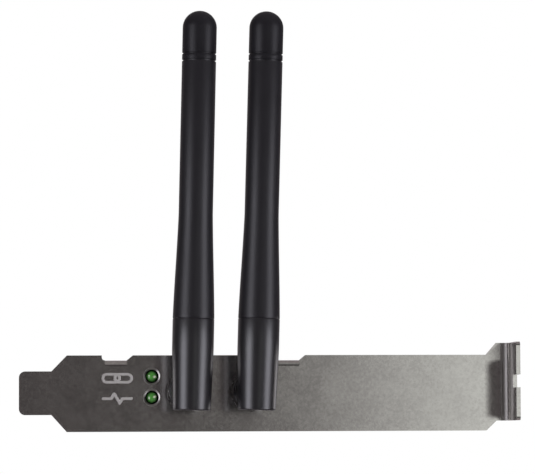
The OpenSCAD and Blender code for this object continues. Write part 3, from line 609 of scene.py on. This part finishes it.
def ribbons(tree, base, sizes):
    # flat ribbons along the edges of the base mesh
    line = tree.node("GeometryNodeMeshToCurve", {}, {"Mesh": base})
    line = tree.node("GeometryNodeSetCurveNormal", {"mode": "Z_UP"}, {"Curve": line})
    section = tree.node("GeometryNodeCurvePrimitiveQuadrilateral", {},
                        {"Width": sizes["Width"], "Height": sizes["Thickness"]})
    return tree.node("GeometryNodeCurveToMesh", {},
                     {"Curve": line, "Profile Curve": section, "Fill Caps": True})


def ribbonPiece(name, lines, width, look, thickness):
    # lines are lists of points in millimetres
    points, edges = [], []
    for line in lines:
        start = len(points)
        points += [(Vector(point) * mm, (1, 1, 1)) for point in line]
        edges += [(start + i, start + i + 1) for i in range(len(line) - 1)]
    sizes = {"Width": width * mm, "Thickness": thickness * mm}
    mesh = grown(name, ribbons, sizes, look, spots(name, points, edges))
    return addPiece(name, mesh, None, "card")


# the jacks' and hinges' axes in millimetres, the lean of the whips in degrees
antennas = {"left": {"x": -78.72, "lean": 1.4}, "right": {"x": -63.3, "lean": 1.7}}
hinge = {"y": -16.0, "z": -2.15}
jacks = [antenna["x"] for antenna in antennas.values()]


def hingePlace(x, lean):
    place = Vector((x, hinge["y"], hinge["z"])) * mm
    return Matrix.Translation(place) @ Matrix.Rotation(math.radians(lean), 4, "Y")


# how far the edges are rounded, and the angle in degrees from which they are
bracket = {"edge": 0.13, "steps": 3, "sharp": 20}
softPiece("bracket", bracket["edge"], "bracket_steel", bracket["steps"], bracket["sharp"])
print("bracket made")

# heights from the hinge's axis, radii and clearances in millimetres
whip = {"foot": -4.8, "footRadius": 4.54, "taper": 9.6, "seam": 16.8, "seamRadius": 4.92, "flareEnd": 41.7,
        "radius": 4.05, "capSeam": 78.0, "tip": 89.9, "bore": 2.7, "groove": 0.4, "grooveDepth": 0.25,
        "grooveRise": 1.65, "socket": 3.65, "socketDepth": 3.55, "neck": 3.6, "neckRise": 3.5, "plugIn": 3.0,
        "edge": 0.4}
# the slot that the knuckle stands in, the round pocket at its end and the feed hole
slotted = {"half": 2.26, "deep": 12.7, "high": 8.3, "middle": (0, 3.475, -1.275), "pocket": 3.56,
           "short": 0.06, "feed": 0.965, "feedLength": 8.4, "boreLength": 20.0, "boreMiddle": 18.0}


def sleeveOutline():
    w = whip
    outline = [(w["socket"], w["seam"]), (w["seamRadius"] - 0.16, w["seam"]),
               (w["seamRadius"] - 0.05, w["seam"] + 0.05), (w["seamRadius"], w["seam"] + 0.14)]
    steps = 28
    for i in range(1, steps + 1):
        t = i / steps
        share = 0.35 * t * t * (3 - 2 * t) + 0.65 * t
        if i > steps - 4:  # eases into the straight part
            share = min(1.0, share + 0.004 * (i - steps + 4) * (steps - i) / 3)
        outline.append((w["seamRadius"] * (1 - share) + w["radius"] * share,
                        w["seam"] + 0.14 + (w["flareEnd"] - w["seam"] - 0.14) * t))
    lip = w["capSeam"] - w["groove"] / 2
    outline += [(w["radius"], lip - 0.08), (w["radius"] - 0.05, lip),
                (w["radius"] - w["grooveDepth"], lip + 0.02),
                (w["radius"] - w["grooveDepth"], w["capSeam"]), (w["bore"], w["capSeam"]),
                (w["bore"], w["seam"] + w["socketDepth"]), (w["socket"], w["seam"] + w["socketDepth"])]
    return outline


def capOutline():
    w = whip
    radius, inner = w["radius"], w["radius"] - w["grooveDepth"]
    seam, ring, half = w["capSeam"], w["capSeam"] + w["grooveRise"], w["groove"] / 2
    plug = seam - w["plugIn"]
    outline = [(0, plug), (w["bore"] - 0.05, plug), (w["bore"] - 0.05, seam), (inner, seam),
               (inner, seam + half - 0.02), (radius - 0.05, seam + half), (radius, seam + half + 0.08),
               (radius, ring - half - 0.08), (radius - 0.05, ring - half), (inner, ring - half + 0.02),
               (inner, ring + half - 0.02), (radius - 0.05, ring + half), (radius, ring + half + 0.08)]
    for i in range(25):
        a = math.radians(90 * i / 24)
        outline.append((radius * math.cos(a) if i < 24 else 0, w["tip"] - radius + radius * math.sin(a)))
    return outline


def cutter(kind, size, place):
    build = bmesh.new()
    if kind == "box":
        bmesh.ops.create_cube(build, size=1.0, matrix=place @ Matrix.Diagonal((*size, 1.0)))
    else:
        bmesh.ops.create_cone(build, cap_ends=True, segments=64, radius1=size[0], radius2=size[0],
                              depth=size[1], matrix=place)
    made = linked("cutter", baked(build, "cutter"))
    made.hide_render = True
    return made


def carved(mesh, cutters):
    steps = [("BOOLEAN", {"object": tool, "operation": "DIFFERENCE", "solver": "EXACT"}) for tool in cutters]
    made = applied(mesh, *steps)
    for tool in cutters:
        bpy.data.objects.remove(tool)
    return made


def housingMesh():
    w, s = whip, slotted
    edge, foot = w["edge"], w["foot"] + w["edge"]
    outline = [(0, w["foot"])]
    for i in range(7):
        a = math.radians(-90 + 15 * i)
        outline.append((w["footRadius"] - edge + edge * math.cos(a), foot + edge * math.sin(a)))
    for i in range(1, 9):
        t = i / 8
        outline.append((w["footRadius"] + (w["seamRadius"] - w["footRadius"]) * t,
                        foot + (w["taper"] - w["foot"] - edge) * t))
    outline += [(w["seamRadius"], w["seam"] - 0.14), (w["seamRadius"] - 0.05, w["seam"] - 0.05),
                (w["seamRadius"] - 0.16, w["seam"]), (w["neck"], w["seam"]),
                (w["neck"], w["seam"] + w["neckRise"]), (0, w["seam"] + w["neckRise"])]
    mesh = meshFrom(turned(outline, False, 128), "housing")
    half = s["half"] * mm
    across = Matrix.Rotation(math.radians(90), 4, "Y")
    tools = [
        cutter("box", (2 * half, s["deep"] * mm, s["high"] * mm), Matrix.Translation(metre(*s["middle"]))),
        cutter("cylinder", (s["pocket"] * mm, 2 * half - s["short"] * mm), across),
        cutter("cylinder", (s["feed"] * mm, s["feedLength"] * mm),
               Matrix.Translation((0, 0, s["feedLength"] / 2 * mm))),
        cutter("cylinder", (w["bore"] * mm, s["boreLength"] * mm),
               Matrix.Translation((0, 0, s["boreMiddle"] * mm))),
    ]
    return carved(mesh, tools)


def placed(mesh, place):
    mesh = mesh.copy()
    mesh.transform(place)
    return mesh


sleeveMesh = meshFrom(turned(sleeveOutline(), True), "sleeve")
capMesh = meshFrom(turned(capOutline()), "cap")
housingShape = housingMesh()
for side, antenna in antennas.items():
    place = hingePlace(antenna["x"], antenna["lean"])
    for part, shape, look, node in (("_sleeve", sleeveMesh, "whip", "_whip_sleeve"),
                                    ("_cap", capMesh, "whip_cap", "_tip_cap"),
                                    ("_housing", housingShape, "housing", "_hinge_housing")):
        piece = addPiece(side + part, placed(shape, place), look, side + "_whip",
                         [side + node])
    piece.data.set_sharp_from_angle(angle=math.radians(35))  # the housing's cut edges
print("whips made")


def lampMesh():
    radius, length = lamps["radius"], lamps["length"]
    flange, back = radius + lamps["flange"], length - lamps["flangeLength"]
    outline = []
    for i in range(17):
        a = math.radians(90 * i / 16)
        outline.append((radius * math.sin(a) if i else 0, radius - radius * math.cos(a)))
    outline += [(radius, back), (flange - 0.04, back), (flange, back + 0.04), (flange, length - 0.04),
                (flange - 0.04, length), (0, length)]
    return meshFrom(turned(outline, False, 48), "lamp")


lampShape = lampMesh()
for name in ("upper", "lower"):
    place = Matrix.Translation(metre(lamps["x"], lamps["front"], lamps[name]))
    place = place @ Matrix.Rotation(math.radians(-90), 4, "X")
    addPiece(name + "_lens", placed(lampShape, place), "lamp_green", "card", [name + "_lamp"])
softPiece("lamp_holder", 0.1, "black_plastic")
print("lamps made")

# heights of the board's faces, line widths and via sizes in millimetres; runs and print are raised by lift
board = {"under": 2.77, "top": 4.37, "lift": 0.005, "trace": 0.22, "print": 0.15, "via": 0.3, "viaHole": 0.15,
         "edgePitch": 3.2, "room": 0.4}
under, over = board["under"] - board["lift"], board["top"] + board["lift"]


def ringShape(name, outer, inner, height, steps=14):
    half = height / 2
    return pattern(name, turned([(inner, -half), (outer, -half), (outer, half), (inner, half)], True, steps))


def padShape(name, length, width, height, steps=6):
    # a flat pad along x with rounded ends
    build = bmesh.new()
    half = width / 2
    outline = [(side * (length / 2 - half) + side * half * math.cos(a), side * half * math.sin(a))
               for side in (1, -1) for a in (math.radians(-90 + 180 * i / steps) for i in range(steps + 1))]
    low = [build.verts.new((x, y, -height / 2)) for x, y in outline]
    high = [build.verts.new((x, y, height / 2)) for x, y in outline]
    skin(build, [low, high])
    return pattern(name, build)


contacts = solidsOf("edge_contacts")
unit = Vector((1, 1, 1))
repeatPiece("contact_fingers", [(middle, unit) for middle, size in contacts],
            padShape("finger", 4.4 * mm, 0.7 * mm, 0.06 * mm), "gold_plate", ["edge_contacts"])

# copper runs from the contacts: one half goes slanting to the shield, the other to the power parts
tracks = {"start": -101.2, "split": 61.0, "underBend": -99.6, "overBend": -96.0, "shieldSide": -88.2,
          "shieldEnd": -60.5, "powerUnder": -94.5, "powerBend": -91.0, "powerTurn": -84.5, "powerEnd": -66.0,
          "step": 6.5, "slant": 0.41}
runs = []
for middle, size in contacts:
    upper = middle.z >= 0.0035
    y, z = middle.y / mm, (over if upper else under)
    if y < tracks["split"]:
        left = tracks["split"] - y
        bend = tracks["overBend"] - tracks["slant"] * left if upper else tracks["underBend"] + 0.12 * left
        reach = (-80 + 0.91 * (y - 50) if upper else tracks["shieldSide"]) - bend
        runs.append([(tracks["start"], y, z), (bend, y, z), (bend + reach, y - reach, z)])
        if upper:
            runs[-1].append((tracks["shieldEnd"], y - reach, z))
    else:
        slant = (y - 63) * tracks["slant"]
        bend = tracks["powerBend"] - slant if upper else tracks["powerUnder"]
        runs.append([(tracks["start"], y, z), (bend, y, z)])
        if upper:
            y += tracks["step"]
            runs[-1] += [(tracks["powerTurn"] - slant, y, z), (tracks["powerEnd"], y, z)]
for x in jacks:  # aerial feeds from the amplifiers to the jacks
    runs.append([(x, 12.4, under), (x, 23.8, under)])
    runs.append([(x - 5.2, 14.0, over), (x - 5.2, 22.0, over), (x - 2.2, 25.0, over), (x - 2.2, 28.5, over)])
for i in range(5):  # a bundle from the shield to the memory
    x, y = 0.8 * i, 2 * i
    runs.append([(x - 58.5, 27 + i, over), (x - 58.5, 47 + y, over), (x - 66, 54.5 + y, over),
                 (x - 66, 59 + y, over)])
ribbonPiece("copper_runs", runs, board["trace"], "copper", 0.05)
power = [[(-88.5, 71), (-88.5, 79), (-60, 79), (-60, 71.5)],
         [(-80.1, 69.5), (-80.1, 76.5), (-66, 76.5), (-66, 66.5)], [(-92, 60), (-92, 56.5), (-84, 56.5)]]
ribbonPiece("power_runs", [[(x, y, under) for x, y in line] for line in power], 1.1, "copper", 0.05)

# vias stand along the board's edges, in rows around the shield and loose between the parts
vias = []
for i in range(24):
    vias += [(-44.2, 9.5 + board["edgePitch"] * i), (-98.0 + 0.2 * (i % 2), 14.6 + 1.45 * i)]
for i in range(15):
    vias.append((-94.5 + 3.5 * i, 88.4))
for i in range(12):
    vias += [(-88.8, 24.5 + 2.4 * i), (-53.3, 24.5 + 2.4 * i)]
for i in range(14):
    vias.append((-87 + 2.5 * i, 22.7))
random.seed(7)
for middle, size in contacts[::2]:
    vias.append((-99.9 - 0.4 * random.random(), middle.y / mm + 0.5))
for i in range(26):
    vias.append((-86 + 38 * random.random(), 56.5 + 6 * (i % 4) + 3 * random.random()))
crowd = ("memory_chip", "regulator", "power_inductor", "bulk_capacitors", "ceramic_capacitors", "resistors")
blocked = [solid for name in crowd for solid in solidsOf(name)]


def fits(x, y):  # a via keeps clear of the parts
    room = board["room"] * mm
    return all(abs(x * mm - middle.x) > size.x / 2 + room or abs(y * mm - middle.y) > size.y / 2 + room
               for middle, size in blocked)


viaPlaces = [(Vector((x, y, z)) * mm, unit) for x, y in vias if fits(x, y)
             for z in (board["under"], board["top"])]
repeatPiece("via_rings", viaPlaces, ringShape("via", board["via"], board["viaHole"], 0.06), "copper")

# fillets of solder on the upper face, and pads on both
leadJoints = [(lamps["x"] + side * 1.27, y) for side in (-1, 1) for y in (10.6, 13.2)]
postJoints = []
for x in jacks:
    postJoints += [(x + i * 2.54, 8.5 + j * 2.54) for i in (-1, 1) for j in (-1, 1)] + [(x, 8.5)]
for name, joints, radius, wide in (("post_joints", postJoints, 0.5, 0.4),
                                   ("lead_joints", leadJoints, 0.25, 0.2)):
    fillet = [(radius - 0.02, 0.0), (radius + wide, 0.0), (radius + wide, 0.05), (radius + wide * 0.55, 0.12),
              (radius + wide * 0.22, 0.3), (radius + 0.04, 0.55), (radius - 0.02, 0.6)]
    places = [(Vector((x, y, board["top"])) * mm, unit) for x, y in joints]
    repeatPiece(name, places, pattern(name, turned(fillet, True, 24)), "solder")
padPlaces = [(Vector((x, y, z)) * mm, unit) for x, y in postJoints for z in (board["under"], board["top"])]
repeatPiece("post_pads", padPlaces, ringShape("padRing", 1.15, 0.55, 0.05, 32), "gold_plate")
screwPads = [(Vector((x, 10.2, board["under"])) * mm, unit) for x in (-95.7, -53.9)]
repeatPiece("screw_pads", screwPads, ringShape("screwRing", 3.3, 1.75, 0.05, 48), "gold_plate")
print("board made")


def framePath(x0, y0, x1, y1, z):
    return [(x0, y0, z), (x1, y0, z), (x1, y1, z), (x0, y1, z), (x0, y0, z)]


# white frames round the shield, the parts and the jacks, arrows at the jacks and the line beside the contacts
prints = [framePath(-88.3, 23.3, -53.9, 52.7, under), framePath(-66.0, 62.9, -58.2, 71.1, under),
          framePath(-93.1, 62.6, -85.1, 71.4, under), framePath(-83.3, 63.8, -76.9, 70.2, under)]
for middle, size in solidsOf("bulk_capacitors"):
    prints.append(framePath((middle.x - size.x / 2) / mm - 0.5, (middle.y - size.y / 2) / mm - 0.4,
                            (middle.x + size.x / 2) / mm + 0.5, (middle.y + size.y / 2) / mm + 0.4, under))
for x in jacks:
    prints.append(framePath(x - 4.3, 6.5, x + 4.3, 12.6, over))
    prints.append([(x - 1.2, 13.6, under), (x, 14.6, under), (x + 1.2, 13.6, under)])
prints += [framePath(-90.2, 8.9, -83.8, 14.4, over), [(-106.0, 48.9, over), (-99.9, 48.9, over)],
           [(-106.0, 48.9, under), (-99.9, 48.9, under)]]
ribbonPiece("board_print", prints, board["print"], "print", 0.04)

# small parts: gap under a body in millimetres, share of a metal end, reach of the solder in millimetres
parts = {"inset": 0.03, "end": 0.22, "fillet": 0.28}


def chipParts(node, look):
    # a small part has a body between two metal ends, each with a fillet of solder
    inset, reach = parts["inset"] * mm, parts["fillet"] * mm
    bodies, ends, fillets = [], [], []
    for middle, size in solidsOf(node):
        end = min(parts["end"] * size.x, 0.6 * mm)
        bodies.append((middle + Vector((0, 0, inset)),
                       Vector((size.x - end, size.y - 2 * inset, size.z - 2 * inset))))
        for side in (-1, 1):
            ends.append((middle + Vector((side * (size.x - end) / 2, 0, 0)), Vector((end, size.y, size.z))))
            fillets.append((Vector((middle.x + side * size.x / 2, middle.y, board["under"] * mm)),
                            Vector((side * reach, size.y * 0.94, size.z * 0.6))))
    repeatPiece(node + "_bodies", bodies, pattern("body", boxShape(), 0.06), look, [node])
    repeatPiece(node + "_ends", ends, pattern("end", boxShape(), 0.12), "solder")
    wedge = bmesh.new()
    profile = [(0, 0), (1, 0), (0.5, -0.22), (0.18, -0.55), (0, -1)]
    sides = [[wedge.verts.new((x, y, z)) for x, z in profile] for y in (-0.5, 0.5)]
    skin(wedge, sides)
    piece = repeatPiece(node + "_fillets", fillets, pattern("wedge", wedge), "solder")
    facing(piece)


def facing(piece):
    # mirrored copies are turned the right way out
    build = bmesh.new()
    build.from_mesh(piece.data)
    bmesh.ops.recalc_face_normals(build, faces=build.faces)
    build.to_mesh(piece.data)
    build.free()


chipParts("ceramic_capacitors", "ceramic")
chipParts("bulk_capacitors", "ceramic")
chipParts("resistors", "chip_black")


square = ((-1, -1), (1, -1), (1, 1), (-1, 1))


def mouldedBody(name, node, x, y, size, dot=None):
    # a moulded package with drafted sides and, where it has one, the first pin's dimple
    build = bmesh.new()
    layers = [(-0.1, 0.94), (-size[2] * 0.52, 1.0), (-size[2], 0.93)]
    rings = [[build.verts.new(((x + sx * size[0] / 2 * k) * mm, (y + sy * size[1] / 2 * k) * mm,
                               (board["under"] + z) * mm)) for sx, sy in square] for z, k in layers]
    skin(build, rings)
    mesh = meshFrom(build, name, 20)
    mesh = applied(mesh, ("BEVEL", {"width": 0.09 * mm, "segments": 2, "limit_method": "ANGLE",
                                    "angle_limit": math.radians(30), "harden_normals": True}))
    if dot:
        place = Matrix.Translation(metre(x + dot[0], y + dot[1], board["under"] - size[2]))
        mesh = carved(mesh, [cutter("cylinder", (dot[2] * mm, 0.16 * mm), place)])
        mesh.set_sharp_from_angle(angle=math.radians(30))
    return addPiece(name, mesh, "chip_black", "card", [node])


def legShape(name, path, width, thickness):
    # a bent strip: the path gives its way outwards and its depth below the board's face
    build = bmesh.new()
    offset = []
    for i, (y, z) in enumerate(path):
        before, after = path[max(i - 1, 0)], path[min(i + 1, len(path) - 1)]
        dy, dz = after[0] - before[0], after[1] - before[1]
        long = math.hypot(dy, dz)
        offset.append((-dz / long * thickness / 2, dy / long * thickness / 2))
    rings = [[build.verts.new((sx * width / 2 * mm, (y + s * oy) * mm, (z + s * oz) * mm))
              for sx, s in square] for (y, z), (oy, oz) in zip(path, offset)]
    skin(build, rings)
    return pattern(name, build)


memory = {"x": -62.1, "y": 67.0, "size": (4.9, 3.9, 1.6), "pitch": 1.27}
mouldedBody("memory_body", "memory_chip", memory["x"], memory["y"], memory["size"], (-1.75, -1.2, 0.35))
gull = [(1.9, -0.75), (2.2, -0.72), (2.34, -0.6), (2.42, -0.25), (2.52, -0.12), (2.98, -0.1)]
legs = [(Vector((memory["x"] + (i - 1.5) * memory["pitch"], memory["y"], board["under"])) * mm,
         Vector((1, side, 1))) for i in range(4) for side in (-1, 1)]
facing(repeatPiece("memory_legs", legs, legShape("leg", gull, 0.4, 0.18), "solder"))

regulator = {"x": -89.1, "y": 67.0, "size": (6.5, 3.5, 1.6), "pitch": 2.3}
mouldedBody("regulator_body", "regulator", regulator["x"], regulator["y"], regulator["size"])
bent = [(1.7, -0.75), (2.05, -0.72), (2.25, -0.55), (2.4, -0.28), (2.6, -0.15), (3.48, -0.14)]
legs = [(Vector((regulator["x"] + i * regulator["pitch"], regulator["y"], board["under"])) * mm,
         Vector((1, -1, 1))) for i in (-1, 0, 1)]
legs.append((Vector((regulator["x"], regulator["y"], board["under"])) * mm, Vector((4.2, 1, 1))))
facing(repeatPiece("regulator_legs", legs, legShape("leg", bent, 0.7, 0.24), "solder"))

inductor = {"x": -80.1, "y": 67.0, "height": 2.8, "core": 1.8, "terminal": (0.2, 2.6, 0.7), "apart": 2.43}
softPiece("power_inductor", 0.25, "chip_black", 3)
core = inductor["core"]
coil = turned([(0, -0.012), (core - 0.08, -0.012), (core, 0.0), (core, 0.06), (0, 0.06)], False, 48)
coil.transform(Matrix.Translation(metre(inductor["x"], inductor["y"], board["under"] - inductor["height"])))
addPiece("inductor_core", meshFrom(coil, "core"), "cable_jacket", "card")
terminals = [(Vector((inductor["x"] + side * inductor["apart"], inductor["y"], board["under"] - 0.35)) * mm,
              Vector(inductor["terminal"]) * mm) for side in (-1, 1)]
repeatPiece("inductor_terminals", terminals, pattern("terminal", boxShape(), 0.1), "solder")
print("board parts made")

# the lid's middle, its inner height, and the radius, number and pitch of its holes
shield = {"x": -71.1, "y": 38.0, "low": 0.47, "hole": 0.55, "across": 9, "along": 7, "pitch": 3.1,
          "dimple": 0.45}


def ventHoles(tree, base, sizes):
    grid = tree.node("GeometryNodeMeshGrid", {},
                     {"Size X": sizes["Across"], "Size Y": sizes["Along"],
                      "Vertices X": sizes["Columns"], "Vertices Y": sizes["Rows"]})
    grid = tree.node("GeometryNodeTransform", {}, {"Geometry": grid, "Translation": sizes["Middle"]})
    drill = tree.node("GeometryNodeMeshCylinder", {},
                      {"Vertices": 20, "Radius": sizes["Radius"], "Depth": sizes["Depth"]})
    drills = tree.node("GeometryNodeInstanceOnPoints", {}, {"Points": grid, "Instance": drill})
    drills = tree.node("GeometryNodeRealizeInstances", {}, {0: drills})
    return tree.node("GeometryNodeMeshBoolean", {"operation": "DIFFERENCE", "solver": "EXACT"},
                     {0: base, 1: [drills]})


cover = grown("shield_lid", ventHoles, {
    "Across": (shield["across"] - 1) * shield["pitch"] * mm,
    "Along": (shield["along"] - 1) * shield["pitch"] * mm,
    "Columns": shield["across"], "Rows": shield["along"], "Radius": shield["hole"] * mm, "Depth": 0.9 * mm,
    "Middle": metre(shield["x"], shield["y"], shield["low"])},
    "plated_steel", softened("shield_cover", 0.18, 3))
addPiece("shield_lid", cover, None, "card", ["shield_cover"])
dimples = [(Vector((x, y, 1.35)) * mm, unit) for x in (-87.6, -54.6) for y in (27.5, 34.5, 41.5, 48.5)]
dimples += [(Vector((x, y, 1.35)) * mm, unit) for x in (-84, -77.5, -71.1, -64.7, -58.2)
            for y in (24.0, 52.0)]
ball = bmesh.new()
bmesh.ops.create_uvsphere(ball, u_segments=16, v_segments=8, radius=shield["dimple"] * mm,
                          matrix=Matrix.Diagonal((0.3, 0.3, 1, 1)))
repeatPiece("shield_dimples", dimples, pattern("dimple", ball), "plated_steel")
softPiece("shield_frame", 0.06, "plated_steel", 2)
print("shield made")

# the jack nuts and washers take the nickel darkened with painted shade
for node, width, look in (("jack_nuts", 0.12, "nickel_with_painted_shade"), ("jack_washers", 0.05, "nickel_with_painted_shade"),
                          ("bracket_screws", 0.1, "plated_steel")):
    softPiece(node, width, look)
for node, width, look, slot in (("jack_body", 0.1, "gold_plate", "gold_plate"),
                                ("plug_body", 0.08, "gold_plate", "gold_plate"),
                                ("collar", 0.12, "housing", "black_plastic"),
                                ("knuckle", 0.22, "housing", "black_plastic"),
                                ("hinge_pins", 0.12, "plated_steel", "plated_steel")):
    for side in antennas:
        softPiece(side + "_" + node, width, look)
print("jacks and bases made")


# the floor in metres, strengths of light, the pale card in degrees, the lights' aim in millimetres
stage = {"floor": (-0.06, 0.04, -0.042), "radius": 1.25, "front": 0.058, "behind": 0.45, "above": 0.3,
         "even": 0.42, "dim": 0.04, "card": 0.93, "cardFrom": 4.9, "cardFull": 8.8, "cardEnd": 15.5,
         "aim": (-60, 0, 30)}


def softbox(name, azimuth, height, distance, size, power, tint=(1, 1, 1)):
    light = bpy.data.lights.new(name, "AREA")
    light.color = tint
    light.shape = "RECTANGLE"
    light.size, light.size_y = size
    light.energy = power
    made = linked(name, light)
    target = Vector(stage["aim"]) * mm
    a = math.radians(azimuth)
    made.location = target + Vector((math.sin(a) * distance, -math.cos(a) * distance, height))
    made.rotation_euler = (target - made.location).to_track_quat("-Z", "Y").to_euler()
    made.visible_camera = False
    return made


def makeFloor():
    build = bmesh.new()
    bmesh.ops.create_circle(build, cap_ends=True, segments=96, radius=stage["radius"])
    mesh = baked(build, "floor")
    mesh.transform(Matrix.Translation(stage["floor"]))
    floor = linked("floor", mesh)
    floor.visible_glossy = False
    made = bpy.data.materials.new("paleFloor")
    made.use_nodes = True
    tree = Nodes(made.node_tree)
    surface = made.node_tree.nodes["Principled BSDF"]
    surface.inputs["Base Color"].default_value = rgb(0.86, 0.86, 0.86)
    surface.inputs["Roughness"].default_value = 0.8
    glow = tree.node("ShaderNodeEmission", {}, {"Color": rgb(1, 1, 1), "Strength": 1.0})
    clear = tree.node("ShaderNodeBsdfTransparent")
    here = tree.node("ShaderNodeTexCoord", output=3)
    centre = tree.node("ShaderNodeVectorMath", {"operation": "SUBTRACT"}, {0: here, 1: stage["floor"]})
    far = tree.node("ShaderNodeVectorMath", {"operation": "LENGTH"}, {0: centre}, 1)
    seen = tree.node("ShaderNodeLightPath", output=0)
    edge = tree.spread(far, 0.35, 1.1, 0.0, 1.0) * seen
    faded = tree.node("ShaderNodeMixShader", {}, {0: edge, 1: Value(tree, surface.outputs[0]), 2: glow})
    under = tree.node("ShaderNodeNewGeometry", output=6)
    whole = tree.node("ShaderNodeMixShader", {}, {0: under, 1: faded, 2: clear})
    made.node_tree.links.new(whole.out, made.node_tree.nodes["Material Output"].inputs["Surface"])
    mesh.materials.append(made)


def makeWorld():
    world = bpy.data.worlds.new("studio")
    scene.world = world
    world.use_nodes = True
    air = Nodes(world.node_tree)
    ray = air.node("ShaderNodeTexCoord")
    depth = air.node("ShaderNodeSeparateXYZ", {}, {0: ray}, 1)
    behind = air.spread(depth, 0.45, 1.0, stage["front"], stage["behind"])
    # a pale card to the right of the camera, brighter away from it
    sideways = air.node("ShaderNodeSeparateXYZ", {}, {0: ray}, 0)
    level = air.node("ShaderNodeSeparateXYZ", {}, {0: ray}, 2)
    azimuth = air.maths("DEGREES", air.maths("ARCTAN2", sideways, 0 - depth))
    rise = air.node("ShaderNodeMapRange", {}, {0: azimuth, 1: stage["cardFrom"], 2: stage["cardFull"]})
    end = stage["cardEnd"]
    rise = air.maths("POWER", rise, 1.3) * air.spread(azimuth, end, end + 2, 1.0, 0.0)
    card = rise * air.spread(abs(level), 0.22, 0.34, 1.0, 0.0)
    dim = air.spread(azimuth, 0.8, 3.4, stage["dim"], 0.0) * air.spread(azimuth, -8.0, -4.0, 0.0, 1.0)
    behind = behind + card * stage["card"] + dim
    even = air.node("ShaderNodeLightPath", output=2) * stage["even"]
    above = air.spread(abs(level), 0.45, 0.85, 0.0, stage["above"])
    strength = behind.most(above).most(even).most(air.node("ShaderNodeLightPath", output=0))
    back = world.node_tree.nodes["Background"]
    tint = air.mix((rise * 1.6).least(1.0), rgb(1.0, 0.9, 0.94), rgb(0.975, 1.0, 0.99))
    tint = air.mix(air.node("ShaderNodeLightPath", output=0), tint, rgb(1, 1, 1))
    world.node_tree.links.new(tint.out, back.inputs["Color"])
    world.node_tree.links.new(strength.out, back.inputs["Strength"])


makeFloor()
makeWorld()
for name, azimuth in (("leftBox", -56), ("rightBox", 56)):
    softbox(name, azimuth, -0.18, 1.1, (0.6, 1.15), 9.0, (0.92, 0.91, 1.0))
for name, azimuth, height, power in (("topFill", 60, 1.1, 7), ("rearFill", 170, 0.5, 7)):
    softbox(name, azimuth, height, 0.8, (0.7, 0.7), power).visible_glossy = False
print("stage made")
